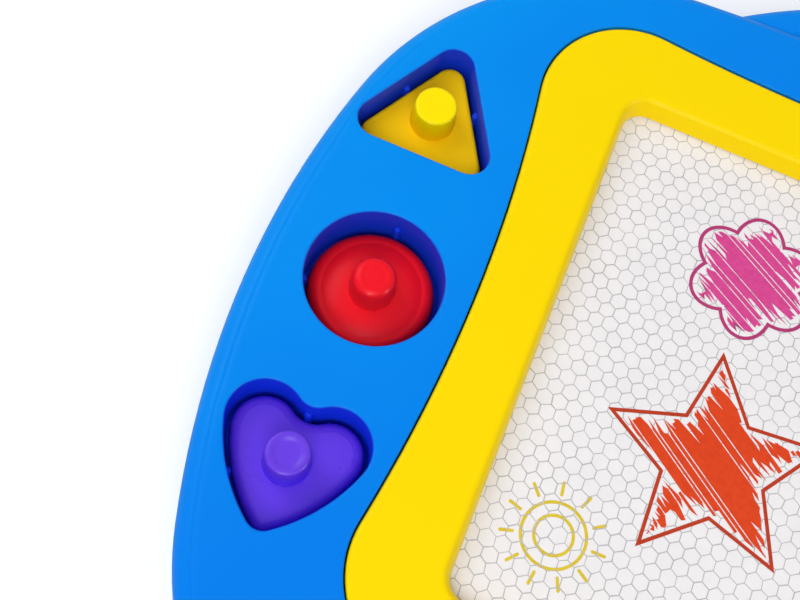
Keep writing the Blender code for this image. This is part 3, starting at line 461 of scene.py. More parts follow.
def meeting(first: Point, first_radius: float, second: Point, second_radius: float,
            pick: Callable[..., Point] = max) -> Point:
    """Point where two circles meet.

    Args:
        first: centre of the first circle.
        first_radius: its radius.
        second: centre of the second circle.
        second_radius: its radius.
        pick: max for the meeting point on the right, min for the one on the left.

    Returns:
        The point.
    """
    between = Vector(second) - Vector(first)
    span = between.length
    along = (first_radius ** 2 - second_radius ** 2 + span ** 2) / (2 * span)
    foot = Vector(first) + between * (along / span)
    turn = Vector((between.y, -between.x)) * (math.sqrt(first_radius ** 2 - along ** 2) / span)
    return pick(tuple(foot + turn), tuple(foot - turn))


def quarter(start: Point, end: Point, flat: bool, steps: int = 5) -> Steps:
    """Steps along a quarter of an ellipse, without its start.

    Args:
        start: side and height where it starts.
        end: side and height where it ends.
        flat: whether it leaves its start level, and not upright.
        steps: number of steps.

    Returns:
        Sides and heights of the steps.
    """
    turns = [math.pi / 2 * (i + 1) / steps for i in range(steps)]
    across, rise = end[0] - start[0], end[1] - start[1]
    if flat:
        return [(start[0] + across * math.sin(t), start[1] + rise * (1 - math.cos(t))) for t in turns]
    return [(start[0] + across * (1 - math.cos(t)), start[1] + rise * math.sin(t)) for t in turns]


def whole(mesh: BMesh) -> list[BMVert | BMEdge | BMFace]:
    """Everything in a mesh."""
    return [*mesh.verts, *mesh.edges, *mesh.faces]


def with_edges(verts: list[BMVert]) -> list[BMVert | BMEdge]:
    """Vertices and the edges that meet at them."""
    return [*verts, *dict.fromkeys(edge for vert in verts for edge in vert.link_edges)]


def with_next(spots: list[Vector]) -> list[tuple[Vector, Vector]]:
    """Each point of a closed line with the next one."""
    return list(zip(spots, spots[1:] + spots[:1]))


def rotate(mesh: BMesh, verts: Iterable[BMVert], degrees: float, axis: str = "Z") -> None:
    """Turns vertices about an axis through the origin."""
    matrix = Matrix.Rotation(math.radians(degrees), 3, axis)
    bmesh.ops.rotate(mesh, cent=(0, 0, 0), matrix=matrix, verts=verts)


class Line:
    """A line in a mesh, drawn by runs, arcs and mirrors."""

    def __init__(self, mesh: BMesh, start: Point, plane: Plane = Plane.PLAN) -> None:
        """Starts the line at a point of its plane."""
        self.mesh = mesh
        self.plane = plane
        self.tip: BMVert = bmesh.ops.create_vert(mesh, co=self.place(start))["vert"][0]

    def place(self, point: Point) -> Vector:
        """Place in the mesh of a point of the plane."""
        if self.plane is Plane.PLAN:
            return Vector((point[0], point[1], 0.0))
        return Vector((point[0], 0.0, point[1]))

    def run(self, end: Point, steps: int = 1) -> "Line":
        """Draws a straight run.

        Args:
            end: point where it ends.
            steps: number of edges.

        Returns:
            The line itself.
        """
        stride = (self.place(end) - self.tip.co) / steps
        for _ in range(steps):
            self.tip = bmesh.ops.extrude_vert_indiv(self.mesh, verts=[self.tip])["verts"][0]
            bmesh.ops.translate(self.mesh, vec=stride, verts=[self.tip])
        return self

    def arc(self, about: Point, sweep: float, steps: int) -> "Line":
        """Draws an arc.

        Args:
            about: its centre.
            sweep: angle that it turns through, in degrees, counter-clockwise where positive.
            steps: number of edges.

        Returns:
            The line itself.
        """
        spun = bmesh.ops.spin(self.mesh, geom=[self.tip], cent=self.place(about),
                              axis=self.plane.value, angle=math.radians(sweep), steps=steps,
                              use_merge=False)
        self.tip = next(part for part in spun["geom_last"] if isinstance(part, BMVert))
        return self

    def mirror(self, *axes: str) -> "Line":
        """Completes the line by its reflections, which it meets on each axis."""
        for axis in axes:
            bmesh.ops.mirror(self.mesh, geom=with_edges(self.verts()), matrix=Matrix(),
                             merge_dist=MERGE, axis=axis)
        return self

    def move(self, point: Point) -> "Line":
        """Moves the line."""
        bmesh.ops.translate(self.mesh, vec=self.place(point), verts=self.verts())
        return self

    def verts(self) -> list[BMVert]:
        """Vertices of the line, in the order in which they follow each other.

        Returns:
            The vertices, from an end or from the tip of a closed line.
        """
        start, before = self.tip, None
        while True:
            onward = [e.other_vert(start) for e in start.link_edges if e.other_vert(start) is not before]
            if not onward or onward[0] is self.tip:
                break
            before, start = start, onward[0]
        if onward:
            start = self.tip
        found, before = [start], None
        while True:
            here = found[-1]
            onward = [e.other_vert(here) for e in here.link_edges if e.other_vert(here) is not before]
            if not onward or onward[0] is start:
                return found
            before = here
            found.append(onward[0])


def circle(mesh: BMesh, radius: float, steps: int, centre: Point = (0.0, 0.0)) -> Line:
    """Circle drawn as a line.

    Args:
        mesh: mesh that takes it.
        radius: its radius.
        steps: number of edges.
        centre: its centre.

    Returns:
        The closed line.
    """
    return Line(mesh, (radius, 0.0)).arc((0.0, 0.0), 180.0, steps // 2).mirror("Y").move(centre)


def stadium(mesh: BMesh, half_x: float, half_y: float, steps: int = 12) -> Line:
    """Slot with round ends, long in X.

    Args:
        mesh: mesh that takes it.
        half_x: half its length.
        half_y: half its width.
        steps: number of edges of a quarter turn.

    Returns:
        The closed line.
    """
    straight = half_x - half_y
    line = Line(mesh, (half_x, 0.0)).arc((straight, 0.0), 90.0, steps).run((0.0, half_y), 8)
    return line.mirror("X", "Y")


class Contour:
    """A closed line that grows a surface: each step takes it sideways, and up or down."""

    def __init__(self, line: Line, side: float, height: float) -> None:
        """Takes a closed line and starts at a side, outwards where positive, and a height."""
        self.mesh = line.mesh
        ring = line.verts()
        spots = [vert.co.xy for vert in ring]
        if sum(here.cross(after) for here, after in with_next(spots)) < 0:
            ring.reverse()
            spots.reverse()
        self.ring = ring
        self.base = spots
        corners = zip(spots[-1:] + spots[:-1], spots, spots[1:] + spots[:1])
        self.away = [self.mitre(*corner) for corner in corners]
        self.first = list(dict.fromkeys(edge for vert in ring for edge in vert.link_edges))
        self.edges = self.first
        self.level = (side, height)
        self.shares = [1.0] * len(ring)
        self.narrowed: Point | None = None
        self.settle(side, height)

    @staticmethod
    def mitre(before: Vector, here: Vector, after: Vector) -> Vector:
        """Way outwards at a corner, long enough to keep both edges parallel.

        Args:
            before: point before the corner.
            here: the corner.
            after: point after the corner.

        Returns:
            The way to go for one millimetre to the side.
        """
        first, second = (here - before).normalized(), (after - here).normalized()
        out = Vector((first.y + second.y, -first.x - second.x))
        return out / (1.0 + first.dot(second))

    def settle(self, side: float, height: float) -> None:
        """Puts the ring at a side and height, or part of the way from where it was narrowed."""
        self.level = (side, height)
        first = self.narrowed or self.level
        for vert, base, away, share in zip(self.ring, self.base, self.away, self.shares):
            here = first[0] + (side - first[0]) * share
            vert.co = (*(base + away * here), first[1] + (height - first[1]) * share)

    def narrow(self, lines: list[Line], reach: float, margin: float) -> "Contour":
        """Makes later steps narrower and flatter where other lines are near.

        Args:
            lines: the lines to keep clear of.
            reach: greatest distance that the later steps go sideways.
            margin: distance to keep from the lines.

        Returns:
            The contour itself.
        """
        sides = [side for line in lines for side in with_next([vert.co.xy for vert in line.verts()])]
        self.narrowed = self.level
        for i, vert in enumerate(self.ring):
            room = min(self.gap(vert.co.xy, *side) for side in sides) - margin
            self.shares[i] = max(LEAST_SHARE, min(1.0, room / reach))
        return self

    @staticmethod
    def gap(spot: Vector, low: Vector, high: Vector) -> float:
        """Distance from a spot to a straight edge."""
        nearest, share = intersect_point_line(spot, low, high)
        if 0.0 <= share <= 1.0:
            return (spot - nearest.xy).length
        return min((spot - low).length, (spot - high).length)

    def step(self, side: float, height: float) -> "Contour":
        """Extrudes the ring and takes it to another side and height.

        Args:
            side: distance outwards from the drawn line.
            height: new height.

        Returns:
            The contour itself.
        """
        grown = bmesh.ops.extrude_edge_only(self.mesh, edges=self.edges)["geom"]
        fresh = {part for part in grown if isinstance(part, BMVert)}
        self.ring = [next(edge.other_vert(vert) for edge in vert.link_edges
                          if edge.other_vert(vert) in fresh) for vert in self.ring]
        self.edges = [part for part in grown if isinstance(part, BMEdge)
                      and fresh.issuperset(part.verts)]
        self.settle(side, height)
        return self

    def follow(self, steps: Steps) -> "Contour":
        """Takes several steps."""
        for side, height in steps:
            self.step(side, height)
        return self

    def bend(self, side: float, height: float, flat: bool, steps: int = 5) -> "Contour":
        """Rounds off to another side and height along a quarter of an ellipse.

        Args:
            side: distance outwards from the drawn line.
            height: new height.
            flat: whether it starts level, and not upright.
            steps: number of steps.

        Returns:
            The contour itself.
        """
        return self.follow(quarter(self.level, (side, height), flat, steps))

    def cap(self) -> None:
        """Closes the first ring and the last one with level faces."""
        fill(self.mesh, self.first)
        fill(self.mesh, self.edges)

    def wall_point(self, centre: Point, degrees: float) -> Point:
        """Point where a ray meets the drawn line.

        Args:
            centre: start of the ray.
            degrees: its direction.

        Returns:
            The meeting point.
        """
        angle = math.radians(degrees)
        start = Vector(centre)
        far = start + 1000.0 * Vector((math.cos(angle), math.sin(angle)))
        met = [intersect_line_line_2d(start, far, *side) for side in with_next(self.base)]
        return next((point.x, point.y) for point in met if point is not None)


def fill(mesh: BMesh, *rings: Iterable[BMEdge]) -> None:
    """Closes a level face between rings, the outermost first, with the others as its holes."""
    edges = [edge for ring in rings for edge in ring]
    bmesh.ops.triangle_fill(mesh, use_beauty=True, use_dissolve=False, edges=edges,
                            normal=Vector((0, 0, 1)))


def turned(mesh: BMesh, line: Line, steps: int, closed: bool = False) -> None:
    """Turns a section once round the upright axis.

    Args:
        mesh: mesh that holds the section.
        line: section, drawn in its plane with the axis at 0.
        steps: number of facets round the axis.
        closed: whether the section's two ends are joined first.
    """
    verts = line.verts()
    if closed:
        bmesh.ops.contextual_create(mesh, geom=[verts[0], verts[-1]])
    bmesh.ops.spin(mesh, geom=with_edges(verts), cent=(0, 0, 0), axis=(0, 0, 1), angle=math.tau,
                   steps=steps, use_merge=True)


def paint_shade_by_height(mesh: BMesh, verts: Iterable[BMVert], low: float, high: float) -> None:
    """Marks how much painted shade vertices take, by how far they lie in a hollow: wholly at the low
    height, not at all at the high one.
    """
    layer = mesh.verts.layers.float.get("recess") or mesh.verts.layers.float.new("recess")
    for vert in verts:
        vert[layer] = max(0.0, min(1.0, (high - vert.co.z) / (high - low)))


class Workshop:
    """Brings finished meshes into the scene, and dresses them and the nodes that stay."""

    def __init__(self, nodes: dict[str, bpy.types.Object], store: FinishStore) -> None:
        """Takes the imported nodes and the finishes."""
        self.nodes = nodes
        self.store = store
        low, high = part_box("panel_top_film")
        middle = (low + high) / 2
        self.placed = Matrix.Translation((middle.x, middle.y, 0.0)) @ Matrix.Scale(MM, 4)

    def deliver(self, name: str, mesh: BMesh, finish: Finish, body: Body, slot: Slot,
                stands_for: tuple[str, ...] = (), sharp: float = 40.0, flat: bool = False) -> None:
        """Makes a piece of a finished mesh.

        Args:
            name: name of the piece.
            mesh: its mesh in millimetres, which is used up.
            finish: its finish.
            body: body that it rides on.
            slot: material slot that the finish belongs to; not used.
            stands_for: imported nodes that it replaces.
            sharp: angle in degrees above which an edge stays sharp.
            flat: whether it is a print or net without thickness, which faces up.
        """
        bmesh.ops.remove_doubles(mesh, verts=mesh.verts, dist=WELD)
        bmesh.ops.recalc_face_normals(mesh, faces=mesh.faces)
        if flat:
            bmesh.ops.reverse_faces(mesh, faces=[face for face in mesh.faces if face.normal.z < 0])
        bmesh.ops.transform(mesh, matrix=self.placed, verts=mesh.verts)
        data = bpy.data.meshes.new(name)
        mesh.to_mesh(data)
        mesh.free()
        data.shade_smooth()
        data.set_sharp_from_angle(angle=math.radians(sharp))
        data.materials.append(self.store.get(finish))
        made = bpy.data.objects.new(name, data)
        bpy.context.scene.collection.objects.link(made)
        made.modifiers.new("even_shading", "WEIGHTED_NORMAL").keep_sharp = True
        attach(made, body.value)
        if stands_for:
            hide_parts(*stands_for)
        LOG.info("%s: %d faces, %s", name, len(data.polygons), finish.name)

    def dress(self, name: str, finish: Finish, slot: Slot) -> None:
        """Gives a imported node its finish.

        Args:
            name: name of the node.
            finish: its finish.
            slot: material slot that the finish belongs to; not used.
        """
        node = self.nodes[name]
        node.data.materials.clear()
        node.data.materials.append(self.store.get(finish))
        LOG.info("%s: packed node, %s", name, finish.name)


# Sub-assemblies


@dataclass
class Wells:
    """Outlines of the three stamp wells, each about its own centre."""

    circle_centre: Point = (-143.4, -5.6)
    triangle_centre: Point = (-146.5, 42.5)
    heart_centre: Point = (-145.0, -53.0)
    circle_radius: float = 17.5
    half_base: float = 12.6
    low: float = -7.2
    high: float = 14.8
    corner: float = 5.3
    lobe: Point = (8.6, 4.5)
    lobe_radius: float = 9.5
    heart_side: float = 42.8
    tip_y: float = -15.5
    tip_radius: float = 4.5
    notch_y: float = 11.3

    def circle(self, mesh: BMesh) -> Line:
        """Outline of the circle well."""
        return circle(mesh, self.circle_radius, 72, self.circle_centre)

    def triangle(self, mesh: BMesh) -> Line:
        """Outline of the triangle well.

        Args:
            mesh: mesh that takes it.

        Returns:
            The closed line.
        """
        lean = math.degrees(math.atan2(self.half_base, self.high - self.low))
        turn = math.radians(lean)
        foot = self.low - self.corner
        line = Line(mesh, (0.0, foot)).run((self.half_base, foot), 4)
        line.arc((self.half_base, self.low), 90.0 + lean, 12)
        line.run((self.corner * math.cos(turn), self.high + self.corner * math.sin(turn)), 6)
        line.arc((0.0, self.high), 90.0 - lean, 6)
        return line.mirror("X").move(self.triangle_centre)

    def heart(self, mesh: BMesh) -> Line:
        """Outline of the heart well.

        Args:
            mesh: mesh that takes it.

        Returns:
            The closed line.
        """
        tip = (0.0, self.tip_y)
        rise = self.notch_y - self.lobe[1]
        spread = self.lobe[0] ** 2 + rise ** 2 - self.lobe_radius ** 2
        fillet = spread / (2 * (self.lobe_radius - rise))
        notch = (0.0, self.notch_y + fillet)
        side = meeting(tip, self.heart_side - self.tip_radius, self.lobe,
                       self.heart_side - self.lobe_radius, min)
        low, high = heading(side, tip), heading(side, self.lobe)
        line = Line(mesh, (0.0, self.tip_y - self.tip_radius)).arc(tip, low + 90.0, 10)
        line.arc(side, high - low, 12).arc(self.lobe, heading(self.lobe, notch) - high, 24)
        line.arc(notch, -90.0 - heading(notch, self.lobe), 6)
        return line.mirror("X").move(self.heart_centre)


@dataclass
class Casing:
    """Blue casing: front shell with its pockets, and rear cover."""

    wells: Wells
    half_width: float = 173.44
    top_edge: float = 110.95
    bottom_edge: float = 138.95
    side_centre_y: float = -9.0
    side_radius: float = 230.0
    corner_radius: float = 82.65
    crown_radius: float = 1332.95
    height: float = 28.0
    parting: float = 11.0
    shoulder: float = 5.0
    foot: float = 3.0
    wall: float = 2.4
    plate: float = 2.2
    gap: float = 0.3
    ledge_top: float = 18.0
    ledge_low: float = 15.8
    well_floor: float = 12.2
    rim: float = 0.6
    well_wall: float = 1.8
    crease: tuple[Point, ...] = ((-3.4, 0.22), (-3.8, 0.14), (-4.15, 0.15), (-4.45, 0.2), (-4.8, 0.14),
                                 (-5.2, 0.05), (-5.8, 0.0), (-6.7, 0.0))
    crease_margin: float = 0.2
    seam: float = 0.35
    seam_step: float = 2.0
    recess_gap: float = 0.45
    recess_round: float = 0.4
    window_gap: float = 2.0
    back_gap: float = 2.7
    track_y: float = -113.0
    track: Point = (116.1, 12.5)
    track_floor: float = 24.0
    slot: Point = (98.9, 3.6)
    slot_round: float = 0.4
    trough_x: float = 146.05
    trough_y: float = -7.4
    trough: Point = (65.25, 8.0)
    trough_floor: float = 17.0
    scoop_radius: float = 13.0
    scoop_floor: float = 19.0
    trough_wall: float = 2.0
    scoop_blend: float = 3.0
    eyelet: Point = (146.0, 68.35)
    eyelet_hole: float = 3.3
    nub_radius: float = 1.05
    nub_top: float = 21.0
    nub_angles: tuple[tuple[float, ...], ...] = ((90, 195, 343), (39, 141, 270), (90, 216, 324))
    post: Point = (1.6, 4.0)
    post_low: float = 8.0
    bezel_hole: float = 1.6
    seat_radius: float = 3.2
    seat_steps: tuple[Point, ...] = ((0.0, 3.0), (-1.6, 3.0), (-1.6, 7.7), (1.4, 7.7))
    rib_half: float = 0.8
    rib_top: float = 11.6
    rib_round: float = 0.25
    rib_places: tuple[Point, ...] = ((121.6, -117.6), (121.6, -108.4), (101.6, 74.9))
    posts: list[Point] = field(default_factory=list)
    bezel_posts: list[Point] = field(default_factory=list)

    def outline(self, mesh: BMesh) -> Line:
        """Outline of the casing.

        Args:
            mesh: mesh that takes it.

        Returns:
            The closed line.
        """
        side = (self.half_width - self.side_radius, self.side_centre_y)
        upper = (0.0, self.top_edge - self.crown_radius)
        lower = (0.0, self.crown_radius - self.bottom_edge)
        reach = self.side_radius - self.corner_radius
        crown_reach = self.crown_radius - self.corner_radius
        high = meeting(side, reach, upper, crown_reach)
        low = meeting(side, reach, lower, crown_reach)
        line = Line(mesh, (0.0, -self.bottom_edge)).arc(lower, heading(lower, low) + 90.0, 8)
        line.arc(low, heading(side, low) - heading(lower, low), 30)
        line.arc(side, heading(side, high) - heading(side, low), 22)
        line.arc(high, heading(upper, high) - heading(side, high), 30)
        line.arc(upper, 90.0 - heading(upper, high), 8)
        return line.mirror("X")

    def trough_line(self, mesh: BMesh, scoop: bool) -> Line:
        """Outline of the pen's trough.

        Args:
            mesh: mesh that takes it.
            scoop: whether the finger scoop widens it at the middle.

        Returns:
            The closed line.
        """
        length, radius = self.trough
        straight = length - radius
        if scoop:
            centre_x = radius + self.scoop_blend
            centre_y = math.sqrt((self.scoop_radius + self.scoop_blend) ** 2 - centre_x ** 2)
            turn = heading((0.0, 0.0), (centre_x, centre_y))
            line = Line(mesh, (self.scoop_radius, 0.0)).arc((0.0, 0.0), turn, 12)
            line.arc((centre_x, centre_y), -turn, 6)
        else:
            line = Line(mesh, (radius, 0.0))
        line.run((radius, straight), 6).arc((0.0, straight), 90.0, 12)
        return line.mirror("X", "Y").move((self.trough_x, self.trough_y))

    def front(self, bezel: "Bezel") -> BMesh:
        """Builds the front shell.

        Args:
            bezel: bezel, whose outlines the recess and the window follow.

        Returns:
            The mesh in millimetres.
        """
        mesh = bmesh.new()
        top, under = self.height, self.height - self.plate
        # The shoulder starts beside a faint crease, which fades out where a well comes near
        drawn = bmesh.new()
        near = [draw(drawn) for draw in (self.wells.circle, self.wells.triangle, self.wells.heart)]
        start, *steps = [(side, top - drop) for side, drop in self.crease]
        crease = Contour(self.outline(mesh), *start)
        crease.narrow(near, start[0] - steps[-1][0], self.rim + self.crease_margin).follow(steps)
        drawn.free()
        rim = Contour(self.outline(mesh), *start)
        for degrees in range(26, 91, 8):
            turn = math.radians(degrees)
            rim.step(self.shoulder * (math.sin(turn) - 1), top - self.shoulder * (1 - math.cos(turn)))
        low, step = self.parting, self.parting - self.seam_step
        rim.follow([(0.0, low + 8.0), (0.0, low + self.seam)]).bend(-self.seam, low, False, 3)
        rim.follow([(-1.3, low), (-1.3, step), (-self.wall, step), (-self.wall, under)])
        tops, unders = [crease.edges], [rim.edges]
        gap, bend = self.recess_gap, self.recess_round
        recess = Contour(bezel.outline(mesh), gap + bend, top).bend(gap, top - bend, True, 3)
        recess.step(gap, self.ledge_top)
        window = self.upright(bezel.screen(mesh), self.window_gap, self.ledge_top, self.ledge_low)
        back = self.upright(bezel.outline(mesh), self.back_gap, self.ledge_low, under)
        holes = [self.upright(circle(mesh, self.bezel_hole, 16, place), 0.0, self.ledge_top, self.ledge_low)
                 for place in self.bezel_posts]
        fill(mesh, recess.edges, window.first, *[hole.first for hole in holes])
        fill(mesh, back.first, window.edges, *[hole.edges for hole in holes])
        tops.append(recess.first)
        unders.append(back.edges)
        self.pockets(mesh, tops, unders)
        fill(mesh, *tops)
        fill(mesh, *unders)
        for place in self.posts:
            self.tube(mesh, place, self.post, (self.post_low, under + 0.6))
        return mesh

    @staticmethod
    def upright(line: Line, side: float, start: float, end: float) -> Contour:
        """Upright wall beside a line, from one height to another."""
        return Contour(line, side, start).step(side, end)

    def pockets(self, mesh: BMesh, tops: list[list[BMEdge]], unders: list[list[BMEdge]]) -> None:
        """Sinks the wells, the slider track and the pen's trough into the shell.

        Args:
            mesh: mesh of the shell.
            tops: rings of the top face, which it adds to.
            unders: rings of its underside, which it adds to.
        """
        top, under = self.height, self.height - self.plate
        draws = (self.wells.circle, self.wells.triangle, self.wells.heart)
        centres = (self.wells.circle_centre, self.wells.triangle_centre, self.wells.heart_centre)
        # Layer for the painted shade in the hollows
        mesh.verts.layers.float.new("recess")
        for draw, centre, nubs in zip(draws, centres, self.nub_angles):
            before = set(mesh.verts)
            well = self.sunk(draw(mesh), self.well_floor)
            fill(mesh, well.edges)
            # Painted shade: the well's walls below the rim darken into the painted shade colour
            paint_shade_by_height(mesh, set(mesh.verts) - before, top - self.rim, top)
            cup = self.upright(draw(mesh), self.well_wall, under, self.well_floor - self.plate)
            fill(mesh, cup.edges)
            tops.append(well.first)
            unders.append(cup.first)
            for degrees in nubs:
                self.nub(mesh, well.wall_point(centre, degrees))
        shift = (0.0, self.track_y)
        track = self.sunk(stadium(mesh, *self.track, 20).move(shift), self.track_floor)
        floor, low, bend = self.track_floor, self.track_floor - self.plate, self.slot_round
        slot = Contour(stadium(mesh, *self.slot, 6).move(shift), bend, floor)
        slot.bend(0.0, floor - bend, True, 3).step(0.0, low)
        fill(mesh, track.edges, slot.first)
        cup = self.upright(stadium(mesh, *self.track, 20).move(shift), self.wall, under, low)
        fill(mesh, cup.edges, slot.edges)
        tops.append(track.first)
        unders.append(cup.first)
        floor, low, wall = self.scoop_floor, self.trough_floor, self.trough_wall
        upper = Contour(self.trough_line(mesh, True), self.rim, top)
        upper.bend(0.0, top - self.rim, True).step(0.0, floor + 1.0).bend(-1.0, floor, False)
        lower = Contour(self.trough_line(mesh, False), -1.3, floor).bend(-3.3, low, False)
        fill(mesh, upper.edges, lower.first)
        fill(mesh, lower.edges)
        cup = self.upright(self.trough_line(mesh, True), wall, under, low - wall)
        fill(mesh, cup.edges)
        tops.append(upper.first)
        unders.append(cup.first)
        eyelet = self.upright(circle(mesh, self.eyelet_hole, 32, self.eyelet), 0.0, top, under)
        tops.append(eyelet.first)
        unders.append(eyelet.edges)

    def sunk(self, line: Line, floor: float) -> Contour:
        """Contour of a pocket with a rounded rim and a filleted floor.

        Args:
            line: outline of the pocket.
            floor: height of its floor.

        Returns:
            The contour, whose last ring bounds the floor.
        """
        pocket = Contour(line, self.rim, self.height).bend(0.0, self.height - self.rim, True)
        return pocket.step(0.0, floor + 0.5).bend(-0.5, floor, False, 3)

    def nub(self, mesh: BMesh, place: Point) -> None:
        """Adds a round-topped grip nub, half sunk in a well's wall.

        Args:
            mesh: mesh of the shell.
            place: its centre.
        """
        part = bmesh.new()
        radius, low = self.nub_radius, self.well_floor - 1.0
        line = Line(part, (0.0, low), Plane.SECTION)
        line.run((radius, low)).run((radius, self.nub_top - radius))
        line.arc((0.0, self.nub_top - radius), 90.0, 5)
        turned(part, line, 16)
        # Painted shade: the nubs take the full painted shade colour of the walls that they stand in
        paint_shade_by_height(part, part.verts, self.nub_top + 1.0, self.height)
        self.join(mesh, part, place)

    def tube(self, mesh: BMesh, place: Point, radii: Point, heights: Point) -> None:
        """Adds a screw post.

        Args:
            mesh: mesh of the shell.
            place: its centre.
            radii: radius of its bore and of its outside.
            heights: its lower and upper end.
        """
        part = bmesh.new()
        line = Line(part, (radii[0], heights[0]), Plane.SECTION).run((radii[1], heights[0]))
        line.run((radii[1], heights[1])).run((radii[0], heights[1]))
        turned(part, line, 24, closed=True)
        self.join(mesh, part, place)

    @staticmethod
    def join(mesh: BMesh, part: BMesh, place: Point) -> None:
        """Joins a small closed part to a mesh.

        Args:
            mesh: mesh that takes it.
            part: the part, which is used up.
            place: where its axis stands.
        """
        bmesh.ops.remove_doubles(part, verts=part.verts, dist=WELD)
        bmesh.ops.translate(part, vec=(*place, 0.0), verts=part.verts)
        data = bpy.data.meshes.new("part")
        part.to_mesh(data)
        part.free()
        mesh.from_mesh(data)
        bpy.data.meshes.remove(data)

    def rear(self) -> BMesh:
        """Builds the rear cover.

        Returns:
            The mesh in millimetres.
        """
        mesh = bmesh.new()
        top = self.parting - self.gap
        tray = Contour(self.outline(mesh), -self.foot - 0.6, 0.0).step(-self.foot, 0.0)
        tray.bend(0.0, self.foot, True, 6).step(0.0, top - self.seam).bend(-self.seam, top, False, 3)
        step = top - self.seam_step
        tray.follow([(-1.0, top), (-1.0, step), (-self.wall, step), (-self.wall, self.plate)])
        seats = []
        for place in self.posts:
            seat = Contour(circle(mesh, self.seat_radius, 28, place), 0.25, 0.0).step(0.0, 0.25)
            seats.append(seat.follow([*self.seat_steps, (self.seat_steps[-1][0], self.plate)]))
        fill(mesh, tray.first, *[seat.first for seat in seats])
        fill(mesh, tray.edges, *[seat.edges for seat in seats])
        for length, across in self.rib_places:
            self.rib(mesh, length, across)
        return mesh

    def rib(self, mesh: BMesh, length: float, across: float) -> None:
        """Adds a rib that guides the eraser's carriage.

        Args:
            mesh: mesh of the rear cover.
            length: half of the rib's length.
            across: how far up the board it stands.
        """
        part = bmesh.new()
        rib = Contour(stadium(part, length, self.rib_half, 4), 0.0, self.plate / 2)
        rib.step(0.0, self.rib_top - self.rib_round).step(-self.rib_round, self.rib_top).cap()
        self.join(mesh, part, (0.0, across))

    def build(self, shop: Workshop, bezel: "Bezel") -> None:
        """Builds and dresses both shells."""
        shop.deliver("moulded_front_casing", self.front(bezel), FinishStore.BLUE, Body.BOARD,
                     Slot.CASING, ("front_casing",))
        shop.deliver("moulded_rear_cover", self.rear(), FinishStore.BLUE, Body.BOARD, Slot.CASING,
                     ("rear_cover",))


@dataclass
class Bezel:
    """Yellow bezel, a channel that frames the screen."""

    half_width: float = 99.5
    half_height: float = 68.9
    screen_corner: float = 5.5
    corner: Point = (99.6, 65.9)
    radius: float = 24.2
    waist: float = 5.2
    dip: float = 2.5
    dip_run: float = 51.6
    top: float = 28.0
    lip: float = 21.8
    foot: float = 18.3
    slope: float = 3.4
    rim: float = 1.8
    edge: float = 1.0
    wall: float = 2.4
    ceiling: float = 25.8
    chamfer: float = 0.25
    slope_steps: int = 11

    def screen(self, mesh: BMesh) -> Line:
        """Outline of the screen opening."""
        x, y, r = self.half_width, self.half_height, self.screen_corner
        line = Line(mesh, (x, 0.0)).run((x, y - r), 8).arc((x - r, y - r), 90.0, 12)
        return line.run((0.0, y), 10).mirror("X", "Y")

    def outline(self, mesh: BMesh) -> Line:
        """Outline of the bezel.

        Args:
            mesh: mesh that takes it.

        Returns:
            The closed line.
        """
        x, y = self.corner
        reach = self.radius - self.waist
        side_radius = (reach ** 2 + y ** 2 - self.radius ** 2) / (2 * self.waist)
        side = (x + reach + side_radius, 0.0)
        rise = self.radius - self.dip
        end_radius = (self.dip_run ** 2 + rise ** 2 - self.radius ** 2) / (2 * self.dip)
        end = (x - self.dip_run, y + rise + end_radius)
        to_side, to_end = heading(self.corner, side), heading(self.corner, end)
        line = Line(mesh, (x + reach, 0.0)).arc(side, to_side, 10)
        line.arc(self.corner, to_end - to_side, 30).arc(end, 90.0 - to_end, 8)
        return line.run((0.0, y + rise), 6).mirror("X", "Y")

    def build(self, shop: Workshop) -> None:
        """Builds and dresses the bezel.

        Args:
            shop: workshop that takes it.
        """
        mesh = bmesh.new()
        channel = self.slope + self.rim
        inner = Contour(self.screen(mesh), channel, self.ceiling).step(channel, self.lip)
        low = self.lip + self.chamfer
        inner.follow([(self.chamfer, self.lip), (0.0, low)])
        # The slope rises steeply from the film and rounds over into the face
        for i in range(1, self.slope_steps + 1):
            share = (i / self.slope_steps) ** 1.35
            inner.step(self.slope * share, low + (self.top - low) * (1 - (1 - share) ** 3.3))
        inner.step(self.slope + 0.8, self.top)
        outer = Contour(self.outline(mesh), -self.edge - 0.9, self.top).step(-self.edge, self.top)
        outer.bend(0.0, self.top - self.edge, True, 6)
        outer.follow([(0.0, self.foot), (-self.wall, self.foot), (-self.wall, self.ceiling)])
        fill(mesh, outer.first, inner.edges)
        fill(mesh, outer.edges, inner.first)
        shop.deliver("moulded_screen_bezel", mesh, FinishStore.YELLOW, Body.BOARD, Slot.BEZEL,
                     ("screen_bezel",))


